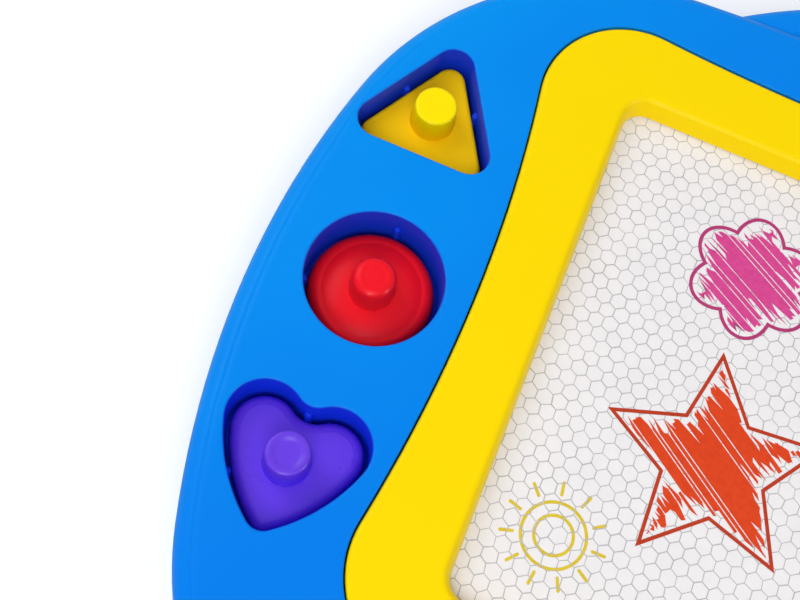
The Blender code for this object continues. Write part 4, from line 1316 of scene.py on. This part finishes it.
@dataclass
class CarryHandle:
    """Arched carry handle, whose feet stand just inside the casing's upper edge."""

    rise: float = 26.6
    half_span: float = 79.67
    casing_top: float = 111.0
    width: float = 12.2
    low: float = 5.0
    high: float = 24.0
    round: float = 4.0
    inset: float = 0.05
    spread: float = 43.0
    foot: Point = (72.0, 107.8)
    foot_lean: float = 0.054

    def build(self, shop: Workshop) -> None:
        """Builds and dresses the handle.

        Args:
            shop: workshop that takes it.
        """
        mesh = bmesh.new()
        radius = (self.half_span ** 2 + self.rise ** 2) / (2 * self.rise)
        centre_y = self.casing_top + self.rise - radius
        half, r = self.width / 2, self.round
        rise = (self.high - self.low) / 2
        line = Line(mesh, (half, 0.0), Plane.SECTION).run((half, rise - r), 2)
        line.arc((half - r, rise - r), 90.0, 8).run((0.0, rise), 2).mirror("X", "Z")
        verts = line.verts()
        middle = (radius - half - self.inset, 0.0, (self.high + self.low) / 2)
        bmesh.ops.translate(mesh, vec=middle, verts=verts)
        rotate(mesh, verts, 90.0)
        bmesh.ops.spin(mesh, geom=with_edges(verts), cent=(0, 0, 0), axis=(0, 0, -1),
                       angle=math.radians(self.spread), steps=36, use_merge=False)
        bmesh.ops.translate(mesh, vec=(0.0, centre_y, 0.0), verts=mesh.verts)
        cut = bmesh.ops.bisect_plane(mesh, geom=whole(mesh), plane_co=(*self.foot, 0.0),
                                     plane_no=(-self.foot_lean, -1.0, 0.0), clear_outer=True,
                                     dist=0.0001)
        rim = [part for part in cut["geom_cut"] if isinstance(part, BMEdge)]
        bmesh.ops.contextual_create(mesh, geom=rim)
        bmesh.ops.mirror(mesh, geom=whole(mesh), matrix=Matrix(), merge_dist=MERGE, axis="X")
        shop.deliver("moulded_carry_handle", mesh, FinishStore.BLUE, Body.BOARD, Slot.CASING,
                     ("carry_handle",))


@dataclass
class Stamp:
    """One shape stamp: its plate in a well, and the knob that a child holds."""

    name: str
    finish: Finish
    knob_finish: Finish
    slot: Slot
    body: Body
    centre: Point
    knob: Point
    edge: Steps
    knob_top: Steps
    floor: float = 12.5
    clearance: float = 1.2
    magnet_rim: float = 2.0
    magnet_depth: float = 1.5
    chamfer: float = 0.3
    knob_base: float = 6.2
    knob_low: float = 3.0
    # Heights between which the painted shade on the knob's sides fades out
    knob_shade_low: float = 26.0
    knob_shade_high: float = 28.6

    def build(self, shop: Workshop, line: Line) -> None:
        """Builds and dresses the stamp.

        Args:
            shop: workshop that takes it.
            line: outline of its well, alone in a mesh of its own.
        """
        mesh = line.mesh
        side, floor = -self.clearance, self.floor
        plate = Contour(line, side - self.magnet_rim, floor + self.magnet_depth)
        plate.follow([(side - self.magnet_rim, floor), (side - self.chamfer, floor),
                      (side, floor + self.chamfer)])
        plate.follow([(side - inset, floor + up) for inset, up in self.edge]).cap()
        shop.deliver(f"moulded_{self.name}", mesh, self.finish, self.body, self.slot, (self.name,))
        grip = bmesh.new()
        section = Line(grip, (0.0, floor + self.knob_low), Plane.SECTION)
        section.run((self.knob_base, floor + self.knob_low))
        for radius, height in self.knob_top:
            section.run((radius, height))
        turned(grip, section, 64)
        # Painted shade on the knob's sides: full below the low height, none from the high one up
        paint_shade_by_height(grip, grip.verts, self.knob_shade_low, self.knob_shade_high)
        spot = (self.centre[0] + self.knob[0], self.centre[1] + self.knob[1])
        bmesh.ops.translate(grip, vec=(*spot, 0.0), verts=grip.verts)
        shop.deliver(f"moulded_{self.name}_knob", grip, self.knob_finish, self.body, self.slot,
                     sharp=50.0)


@dataclass
class StampSet:
    """The three shape stamps."""

    wells: Wells
    top: float = 29.0
    knob_radius: float = 5.5

    def knob_profile(self, round_off: float, dish: Steps) -> Steps:
        """Section of a knob above its base.

        Args:
            round_off: radius of its rounded top edge.
            dish: radii and drops of what is sunk into its top.

        Returns:
            Radii and heights up to the axis.
        """
        radius, top = self.knob_radius, self.top
        lead = [(radius + 0.4, top - 7.0), (radius, top - round_off)]
        edge = quarter((radius, top - round_off), (radius - round_off, top), False, 6)
        return lead + edge + [(r, top - drop) for r, drop in (*dish, (0.0, dish[-1][1]))]

    def build(self, shop: Workshop) -> None:
        """Builds and dresses the three stamps.

        Args:
            shop: workshop that takes them.
        """
        # Edges of the plates, as insets from the rim and heights above the floor
        flat = [(0.0, 6.6), *quarter((0.0, 6.6), (1.2, 7.8), False, 6), (1.8, 7.8)]
        soft = [(0.0, 3.5), *quarter((0.0, 3.5), (2.6, 6.35), False, 9), (2.75, 6.42), (2.95, 6.4)]
        domed = [(0.0, 2.3), *quarter((0.0, 2.3), (3.1, 5.85), False, 8), (3.4, 5.8), (3.8, 5.95),
                 (5.2, 6.5), (7.0, 7.0), (8.8, 7.35), (10.6, 7.5)]
        triangle = Stamp("triangle_stamp", FinishStore.STAMP_YELLOW, FinishStore.KNOB,
                         Slot.STAMP_YELLOW, Body.TRIANGLE, self.wells.triangle_centre, (-0.2, 1.7),
                         flat, self.knob_profile(0.8, [(4.4, 0.0)]))
        ring = [(3.2, 0.0), (2.8, 0.12), (2.3, 0.05), (1.8, 0.0)]
        round_stamp = Stamp("circle_stamp", FinishStore.STAMP_RED, FinishStore.STAMP_RED,
                            Slot.STAMP_RED, Body.CIRCLE, self.wells.circle_centre, (0.0, 0.0),
                            domed, self.knob_profile(2.1, ring))
        hollow = [(4.3, 0.0), (3.7, 0.1), (3.2, 0.45), (2.7, 0.55)]
        heart = Stamp("heart_stamp", FinishStore.STAMP_PURPLE, FinishStore.STAMP_PURPLE,
                      Slot.STAMP_PURPLE, Body.HEART, self.wells.heart_centre, (-0.3, -1.2), soft,
                      self.knob_profile(0.9, hollow))
        triangle.build(shop, self.wells.triangle(bmesh.new()))
        round_stamp.build(shop, self.wells.circle(bmesh.new()))
        heart.build(shop, self.wells.heart(bmesh.new()))
        for name in ("triangle", "circle", "heart"):
            shop.dress(f"{name}_stamp_magnet", FinishStore.MAGNET, Slot.MAGNET)


@dataclass
class Screen:
    """Drawing screen: film, cell walls and the printed figures."""

    half_width: float = 100.0
    half_height: float = 69.4
    film_top: float = 21.5
    margin: float = 3.0
    pitch: float = 3.983
    turn: float = 1.547
    phase: Point = (1.504, 1.531)
    jitter: float = 0.1
    insets: tuple[float, ...] = (0.09, 0.12, 0.15)
    lift: float = 0.04
    spare: int = 4
    seed: int = 7
    star_place: Point = (-49.0, -14.0)
    flower_place: Point = (-54.0, 37.0)
    sun_place: Point = (-80.0, -46.0)

    def build(self, shop: Workshop) -> None:
        """Builds and dresses the screen.

        Args:
            shop: workshop that takes it.
        """
        self.cells(shop)
        Figure("star", self.star_place, 27.0, 5, 0.52, 5, 12.0, -35.0, FinishStore.INK_RED_LINE,
               FinishStore.INK_RED).build(shop)
        Figure("flower", self.flower_place, 16.5, 6, 0.26, 48, 5.0, -30.0, FinishStore.INK_PINK_LINE,
               FinishStore.INK_PINK, seed=8).build(shop)
        Sun(self.sun_place).build(shop)
        shop.dress("panel_top_film", FinishStore.FILM, Slot.FILM)
        shop.dress("panel_back_film", FinishStore.FILM, Slot.FILM)
        shop.dress("honeycomb_core", FinishStore.CORE, Slot.CORE)

    def cells(self, shop: Workshop) -> None:
        """Builds the net of cell walls.

        Args:
            shop: workshop that takes it.
        """
        chance = random.Random(self.seed)
        mesh = bmesh.new()
        radius = self.pitch / math.sqrt(3)
        row_pitch = self.pitch * math.sqrt(0.75)
        across = int(self.half_width / self.pitch) + self.spare
        rows = int(self.half_height / row_pitch) + self.spare
        for column in range(-across, across + 1):
            place = Matrix.Translation((column * self.pitch, 0.0, 0.0))
            bmesh.ops.create_circle(mesh, cap_ends=True, segments=6, radius=radius, matrix=place)
        first = whole(mesh)
        for row in [*range(-rows, 0), *range(1, rows + 1)]:
            copy = bmesh.ops.duplicate(mesh, geom=first)["geom"]
            shift = (self.pitch / 2 * (row % 2), row * row_pitch, 0.0)
            bmesh.ops.translate(mesh, vec=shift, verts=[v for v in copy if isinstance(v, BMVert)])
        bmesh.ops.remove_doubles(mesh, verts=mesh.verts, dist=0.05)
        for vert in mesh.verts:
            vert.co += Vector((chance.gauss(0, self.jitter), chance.gauss(0, self.jitter), 0.0))
        rotate(mesh, mesh.verts, self.turn)
        bmesh.ops.translate(mesh, vec=(*self.phase, self.film_top + self.lift), verts=mesh.verts)
        for normal, reach in (((1, 0, 0), self.half_width), ((0, 1, 0), self.half_height)):
            for sign in (-1, 1):
                way = Vector(normal) * sign
                bmesh.ops.bisect_plane(mesh, geom=whole(mesh), plane_co=way * (reach + self.margin),
                                       plane_no=way, clear_outer=True)
        groups: list[list[BMFace]] = [[] for _ in self.insets]
        for face in mesh.faces:
            groups[chance.randrange(len(groups))].append(face)
        for thickness, faces in zip(self.insets, groups):
            bmesh.ops.inset_individual(mesh, faces=faces, thickness=thickness, use_even_offset=True)
        bmesh.ops.delete(mesh, geom=[face for group in groups for face in group], context="FACES")
        shop.deliver("screen_cell_walls", mesh, FinishStore.WALLS, Body.BOARD, Slot.CORE, flat=True)


@dataclass
class Figure:
    """Figure drawn on the screen: an outline with points or petals, and pen strokes within it."""

    name: str
    place: Point
    radius: float
    points: int
    depth: float
    steps: int
    turn: float
    slope: float
    line_finish: Finish
    stroke_finish: Finish
    height: float = 21.57
    line_width: float = 0.95
    inset: float = 0.7
    seed: int = 3
    stroke_widths: Point = (0.5, 1.2)
    stroke_gaps: tuple[float, ...] = (0.0, 0.0, 0.0, 0.25)
    longest_pull: float = 8.0

    def outline(self, mesh: BMesh) -> Line:
        """Outline of the figure.

        Args:
            mesh: mesh that takes it.

        Returns:
            The closed line.
        """
        spots = []
        for i in range(self.steps + 1):
            turn = math.pi * (1 - i / self.steps)
            reach = self.radius * (1 - self.depth * (1 - abs(math.cos(self.points / 2 * turn))))
            spots.append((reach * math.sin(turn), reach * math.cos(turn)))
        line = Line(mesh, (0.0, spots[0][1]))
        for spot in spots[1:-1]:
            line.run(spot)
        line.run((0.0, spots[-1][1])).mirror("X")
        rotate(mesh, line.verts(), self.turn)
        return line.move(self.place)

    def strokes(self) -> BMesh:
        """Builds the strokes, which run side by side and end raggedly near the outline.

        Returns:
            The mesh in millimetres.
        """
        chance = random.Random(self.seed)
        mesh = bmesh.new()
        area = Contour(self.outline(mesh), -self.inset, self.height)
        fill(mesh, area.edges)
        turn = math.radians(self.slope)
        along = Vector((math.cos(turn), math.sin(turn), 0))
        across = Vector((-along.y, along.x, 0))
        middle = Vector((*self.place, self.height))
        cuts, gaps, offset = [], [], -self.radius
        while offset < self.radius:
            width, gap = chance.uniform(*self.stroke_widths), chance.choice(self.stroke_gaps)
            for place in {offset + width, offset + width + gap}:
                cut = bmesh.ops.bisect_plane(mesh, geom=whole(mesh), plane_co=middle + across * place,
                                             plane_no=across)
                cuts += [part for part in cut["geom_cut"] if isinstance(part, BMEdge)]
            gaps.append((offset + width, offset + width + gap))
            offset += width + gap
        bmesh.ops.split_edges(mesh, edges=[edge for edge in cuts if edge.is_valid])
        places = {face: (face.calc_center_median() - middle).dot(across) for face in mesh.faces}
        spare = [face for face, place in places.items() if any(low < place < high for low, high in gaps)]
        bmesh.ops.delete(mesh, geom=spare, context="FACES")
        for island in self.islands(mesh):
            reaches = [(vert.co - middle).dot(along) for vert in island]
            sides = [(vert.co - middle).dot(across) for vert in island]
            centre, half = (max(reaches) + min(reaches)) / 2, (max(reaches) - min(reaches)) / 2
            edge = (max(sides) + min(sides)) / 2
            # Each corner of a stroke stops short of the outline by a chance amount, mostly a little
            pulls = {(end, side): min(chance.uniform(0.0, 1.0) ** 2.5 * self.longest_pull, half * 0.9)
                     for end in (False, True) for side in (False, True)}
            for vert, reach, side in zip(island, reaches, sides):
                pull = pulls[(reach > centre, side > edge)] / max(half, 0.01)
                vert.co -= along * ((reach - centre) * pull)
        return mesh

    @staticmethod
    def islands(mesh: BMesh) -> list[list[BMVert]]:
        """Vertices of each separate stroke, in the mesh's own order.

        Args:
            mesh: mesh of the strokes.

        Returns:
            One list of vertices for each stroke.
        """
        seen: set[BMVert] = set()
        found = []
        for start in mesh.verts:
            if start in seen:
                continue
            seen.add(start)
            island = [start]
            for here in island:
                near = [edge.other_vert(here) for edge in here.link_edges]
                fresh = [vert for vert in near if vert not in seen]
                seen.update(fresh)
                island += fresh
            found.append(island)
        return found

    def build(self, shop: Workshop) -> None:
        """Builds and dresses the figure.

        Args:
            shop: workshop that takes it.
        """
        mesh = bmesh.new()
        Contour(self.outline(mesh), 0.0, self.height).step(self.line_width, self.height)
        shop.deliver(f"drawn_{self.name}_outline", mesh, self.line_finish, Body.BOARD, Slot.FILM,
                     flat=True)
        shop.deliver(f"drawn_{self.name}_strokes", self.strokes(), self.stroke_finish, Body.BOARD,
                     Slot.FILM, flat=True)


@dataclass
class Sun:
    """Sun drawn on the screen in yellow line: two rings and the rays round them."""

    place: Point
    rings: tuple[float, float] = (7.6, 4.4)
    rays: int = 11
    ray_start: float = 9.6
    ray_end: float = 13.4
    line_width: float = 0.8
    height: float = 21.52

    def build(self, shop: Workshop) -> None:
        """Builds and dresses the sun.

        Args:
            shop: workshop that takes it.
        """
        mesh = bmesh.new()
        for radius in self.rings:
            Contour(circle(mesh, radius, 56), 0.0, self.height).step(self.line_width, self.height)
        half = (self.ray_end - self.ray_start) / 2
        for i in range(self.rays):
            ray = Contour(stadium(mesh, half, self.line_width / 2, 4), 0.0, self.height)
            bmesh.ops.translate(mesh, vec=(self.ray_start + half, 0.0, 0.0), verts=ray.ring)
            rotate(mesh, ray.ring, 360.0 * i / self.rays)
            fill(mesh, ray.edges)
        bmesh.ops.translate(mesh, vec=(*self.place, 0.0), verts=mesh.verts)
        shop.deliver("drawn_sun_outline", mesh, FinishStore.INK_YELLOW, Body.BOARD, Slot.FILM,
                     flat=True)


@dataclass
class Eraser:
    """Eraser slider: the knob in its track, and the carriage and magnet behind the screen."""

    place: Point = (93.0, -113.0)
    half: Point = (19.0, 9.0)
    stem: Point = (5.0, 3.0)
    low: float = 24.3
    stem_low: float = 15.6
    top: float = 36.8
    edge: float = 0.6
    flange: float = 2.5
    bend: float = 1.1
    grip: float = 5.2
    grip_low: float = 5.0

    def build(self, shop: Workshop) -> None:
        """Builds and dresses the slider.

        Args:
            shop: workshop that takes it.
        """
        mesh = bmesh.new()
        low, top, edge, bend, grip = self.low, self.top, self.edge, self.bend, -self.grip
        flange = low + self.flange
        knob = Contour(stadium(mesh, *self.half, 14).move(self.place), -edge, low)
        knob.bend(0.0, low + edge, True, 3).step(0.0, flange - bend).bend(-bend, flange, False)
        knob.step(grip / 2, flange + 0.1).bend(grip, low + self.grip_low, True)
        knob.follow([(grip - 0.05, low + 8.0), (grip, top - bend)])
        knob.bend(grip - bend, top, False).step(grip - 1.4, top).cap()
        stem = Contour(stadium(mesh, *self.stem, 6).move(self.place), 0.0, self.stem_low)
        stem.step(0.0, low + 0.5).cap()
        shop.deliver("moulded_eraser_knob", mesh, FinishStore.KNOB, Body.ERASER, Slot.KNOB,
                     ("eraser_knob",))
        shop.dress("eraser_carriage", FinishStore.CARRIAGE, Slot.CARRIAGE)
        shop.dress("eraser_magnet_bar", FinishStore.MAGNET, Slot.MAGNET)
        shop.dress("knob_screw", FinishStore.STEEL, Slot.STEEL)


@dataclass
class Pen:
    """Magnetic pen, lying in its trough with its tail towards the handle."""

    place: tuple[float, float, float] = (146.05, 53.85, 23.8)
    radius: float = 6.5
    joint: float = -16.8
    nose: float = -104.8
    tip: float = -122.8
    tip_radius: float = 3.4
    bore: float = 4.9
    nib_bore: float = 1.8
    nib_radius: float = 1.5
    nib_end: float = -124.8
    rings: int = 5
    rings_from: float = 22.0
    ring_pitch: float = 4.0
    ring_depth: float = 0.45
    nib_seat: float = 8.0

    def lay(self, mesh: BMesh) -> BMesh:
        """Lays a turned part down along the trough."""
        rotate(mesh, mesh.verts, -90.0, "X")
        bmesh.ops.translate(mesh, vec=self.place, verts=mesh.verts)
        return mesh

    def build(self, shop: Workshop) -> None:
        """Builds and dresses the pen.

        Args:
            shop: workshop that takes it.
        """
        mesh = bmesh.new()
        radius, groove, start = self.radius, self.radius - self.ring_depth, self.nose + self.rings_from
        line = Line(mesh, (self.bore, self.joint), Plane.SECTION).run((radius - 0.4, self.joint))
        line.run((radius, self.joint - 0.4)).run((radius, start), 6)
        for _ in range(self.rings):
            line.run((radius, start - 1.6)).run((groove, start - 2.1))
            line.run((groove, start - 2.9)).run((radius, start - 3.4))
            start -= self.ring_pitch
        line.run((radius, self.nose + 1.5)).run((radius - 0.1, self.nose - 1.0))
        line.run((self.tip_radius + 0.3, self.tip + 0.8), 4).run((self.tip_radius - 0.4, self.tip))
        line.run((self.nib_bore, self.tip)).run((self.nib_bore, self.tip + self.nib_seat))
        line.run((self.bore, self.nose + self.nib_seat))
        turned(mesh, line, 56, closed=True)
        shop.deliver("moulded_pen_barrel", self.lay(mesh), FinishStore.PEN, Body.PEN, Slot.PEN,
                     ("pen_barrel",), sharp=45.0)
        mesh = bmesh.new()
        end, top = self.nib_end, self.tip + self.nib_seat - 0.3
        line = Line(mesh, (0.0, end), Plane.SECTION).run((self.nib_radius * 0.45, end))
        line.run((self.nib_radius, end + 0.9)).run((self.nib_radius, top)).run((0.0, top))
        turned(mesh, line, 28)
        shop.deliver("turned_pen_nib", self.lay(mesh), FinishStore.STEEL, Body.PEN, Slot.STEEL,
                     ("pen_nib",))
        shop.dress("pen_cap", FinishStore.BLUE, Slot.CASING)


@dataclass
class Hardware:
    """Screws, and the eyelet that the pen's tether is tied to."""

    posts: list[Point]
    eyelet: Point
    seat: float = 2.7
    head: float = 2.9
    head_height: float = 1.8
    shank: float = 1.3
    length: float = 19.0
    recess_half: float = 0.4
    recess_reach: float = 1.55
    recess_depth: float = 1.1
    bezel_screws: int = 6
    eyelet_seat: float = 28.3

    def screw(self, place: Point) -> BMesh:
        """Builds a pan-head screw with a cross recess, head down.

        Args:
            place: its axis.

        Returns:
            The mesh in millimetres.
        """
        mesh = bmesh.new()
        low = self.seat - self.head_height
        inset = self.shank - self.head
        body = Contour(circle(mesh, self.head, 32), -0.9, low).bend(0.0, low + 0.7, True)
        end = self.seat + self.length
        body.follow([(0.0, self.seat), (inset, self.seat), (inset, end - 1.0), (inset - 0.5, end)])
        arm, reach = self.recess_half, self.recess_reach
        line = Line(mesh, (reach, 0.0)).run((reach, arm)).run((arm, arm)).run((arm, reach))
        cross = Contour(line.run((0.0, reach)).mirror("X", "Y"), 0.0, low)
        cross.step(-0.2, low + self.recess_depth)
        fill(mesh, body.first, cross.first)
        fill(mesh, body.edges)
        fill(mesh, cross.edges)
        bmesh.ops.translate(mesh, vec=(*place, 0.0), verts=mesh.verts)
        return mesh

    def build(self, shop: Workshop) -> None:
        """Builds and dresses the screws and the eyelet.

        Args:
            shop: workshop that takes them.
        """
        for i, place in enumerate(self.posts, 1):
            shop.deliver(f"driven_casing_screw_{i:02d}", self.screw(place), FinishStore.STEEL,
                         Body.BOARD, Slot.STEEL, (f"casing_screw_{i:02d}",))
        for i in range(1, self.bezel_screws + 1):
            shop.dress(f"bezel_screw_{i}", FinishStore.STEEL, Slot.STEEL)
        mesh = bmesh.new()
        low = self.eyelet_seat
        line = Line(mesh, (1.8, low - 5.0), Plane.SECTION).run((2.7, low - 5.0))
        line.run((3.0, low - 4.7)).run((3.0, low)).run((4.4, low)).run((4.4, low + 0.5))
        line.arc((3.7, low + 0.5), 90.0, 5).run((2.3, low + 1.2)).arc((2.3, low + 0.7), 90.0, 5)
        turned(mesh, line, 40, closed=True)
        bmesh.ops.translate(mesh, vec=(*self.eyelet, 0.0), verts=mesh.verts)
        shop.deliver("moulded_tether_eyelet", mesh, FinishStore.YELLOW, Body.BOARD, Slot.BEZEL,
                     ("tether_eyelet",))


@dataclass
class Studio:
    """Plain pale floor, soft light and the photograph's viewing angle."""

    eye: tuple[float, float, float] = (-0.126776, -0.114064, 0.320646)
    turn: tuple[float, float, float] = (0.332887, -0.108028, 0.384189)
    lens: float = 57.4227
    ambient: float = 0.46
    floor_half: float = 3.0
    floor_drop: float = 0.0002
    fade: Point = (0.26, 0.6)

    def camera(self) -> None:
        """Places the camera."""
        data = bpy.data.cameras.new("camera")
        data.lens = self.lens
        data.sensor_width = 36.0
        data.clip_start = 0.01
        made = bpy.data.objects.new("camera", data)
        made.location = self.eye
        made.rotation_euler = self.turn
        bpy.context.scene.collection.objects.link(made)
        bpy.context.scene.camera = made

    def lamp(self, name: str, place: tuple[float, float, float], size: float, power: float,
             glint: bool = False) -> None:
        """Adds a soft square lamp that faces the board.

        Args:
            name: name of the lamp.
            place: where it hangs, in metres.
            size: length of its side, in metres.
            power: its power, in watts.
            glint: whether it only shows as a highlight on rounded edges.
        """
        data = bpy.data.lights.new(name, "AREA")
        data.shape = "SQUARE"
        data.size = size
        data.energy = power
        made = bpy.data.objects.new(name, data)
        made.location = place
        made.rotation_mode = "QUATERNION"
        made.rotation_quaternion = Vector(place).to_track_quat("Z", "Y")
        made.visible_diffuse = not glint
        bpy.context.scene.collection.objects.link(made)

    def world(self) -> None:
        """Lights the board evenly from all round, before a white background."""
        world = bpy.data.worlds.new("studio")
        world.use_nodes = True
        tree = world.node_tree
        tree.nodes.clear()
        # White to the camera, and in mirrors and through clear things, but soft as a light
        path = add(tree, "ShaderNodeLightPath")
        clear = add(tree, "ShaderNodeMath", {"0": path.outputs["Is Camera Ray"],
                                             "1": path.outputs["Is Transmission Ray"]},
                    operation="MAXIMUM")
        seen = add(tree, "ShaderNodeMath", {"0": clear.outputs[0], "1": path.outputs["Is Glossy Ray"]},
                   operation="MAXIMUM")
        soft = add(tree, "ShaderNodeBackground", Color=(1, 1, 1, 1), Strength=self.ambient)
        white = add(tree, "ShaderNodeBackground", Color=(1, 1, 1, 1), Strength=1.0)
        mixed = add(tree, "ShaderNodeMixShader", {"0": seen.outputs[0], "1": soft.outputs[0],
                                                  "2": white.outputs[0]})
        add(tree, "ShaderNodeOutputWorld", {"Surface": mixed.outputs[0]})
        bpy.context.scene.world = world

    def floor(self) -> None:
        """Lays a pale floor that keeps the board's shadow."""
        mesh = bmesh.new()
        bmesh.ops.create_grid(mesh, x_segments=8, y_segments=8, size=self.floor_half)
        bmesh.ops.translate(mesh, vec=(0.0, 0.0, -self.floor_drop), verts=mesh.verts)
        data = bpy.data.meshes.new("floor")
        mesh.to_mesh(data)
        mesh.free()
        made = bpy.data.objects.new("floor", data)
        bpy.context.scene.collection.objects.link(made)
        paint = new_material("painted_floor")
        tree = paint.node_tree
        path = add(tree, "ShaderNodeLightPath")
        pale = add(tree, "ShaderNodeBsdfDiffuse", Color=linear("#E6E6E6"))
        lift = add(tree, "ShaderNodeEmission", {"Strength": path.outputs["Is Camera Ray"]},
                   Color=(0.3, 0.3, 0.3, 1))
        both = add(tree, "ShaderNodeAddShader", {"0": pale.outputs[0], "1": lift.outputs[0]})
        # Away from the board and its shadow the floor runs out into the white background
        place = add(tree, "ShaderNodeTexCoord").outputs["Object"]
        away = add(tree, "ShaderNodeVectorMath", {"0": place}, operation="LENGTH")
        share = add(tree, "ShaderNodeMapRange", {"Value": away.outputs["Value"]},
                    From_Min=self.fade[0], From_Max=self.fade[1], interpolation_type="SMOOTHSTEP")
        seen = add(tree, "ShaderNodeMath", {"0": share.outputs["Result"],
                                            "1": path.outputs["Is Camera Ray"]},
                   operation="MULTIPLY")
        blank = add(tree, "ShaderNodeEmission", Color=(1, 1, 1, 1))
        floor = add(tree, "ShaderNodeMixShader", {"0": seen.outputs[0], "1": both.outputs[0],
                                                  "2": blank.outputs[0]})
        add(tree, "ShaderNodeOutputMaterial", {"Surface": floor.outputs[0]})
        data.materials.append(paint)

    def build(self) -> None:
        """Sets up the camera, the lamps, the world and the floor."""
        self.camera()
        self.lamp("key_softbox", (-0.9, 0.3, 0.9), 0.7, 4.9)
        self.lamp("front_softbox", (0.0, -0.7, 1.0), 0.6, 6.3)
        self.lamp("low_front_lamp", (-0.06, -1.0, 0.6), 0.15, 7.0, glint=True)
        self.lamp("low_side_lamp", (1.0, -0.27, 0.45), 0.15, 7.0, glint=True)
        self.world()
        self.floor()
        bpy.context.scene.view_settings.view_transform = "Standard"


def screw_axes(names: list[str]) -> list[Point]:
    """Axes of packed screws, in the board's drawing.

    Args:
        names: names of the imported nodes.

    Returns:
        Their places in millimetres.
    """
    low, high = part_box("panel_top_film")
    middle = (low + high) / 2
    spots = []
    for name in names:
        low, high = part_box(name)
        spot = ((low + high) / 2 - middle) / MM
        spots.append((spot.x, spot.y))
    return spots


def main() -> None:
    """Sets up the studio, then builds the board's pieces in order."""
    logging.basicConfig(level=logging.INFO, format="%(name)s: %(message)s")
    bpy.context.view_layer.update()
    shop = Workshop(frame["nodes"], FinishStore())
    Studio().build()
    posts = screw_axes([f"casing_screw_{i:02d}" for i in range(1, 13)])
    bezel_posts = screw_axes([f"bezel_screw_{i}" for i in range(1, 7)])
    eyelet = screw_axes(["tether_eyelet"])[0]
    wells = Wells()
    bezel = Bezel()
    Casing(wells, posts=posts, bezel_posts=bezel_posts, eyelet=eyelet).build(shop, bezel)
    bezel.build(shop)
    Screen().build(shop)
    CarryHandle().build(shop)
    StampSet(wells).build(shop)
    Eraser().build(shop)
    Pen().build(shop)
    Hardware(posts, eyelet).build(shop)


if __name__ == "__main__":
    main()
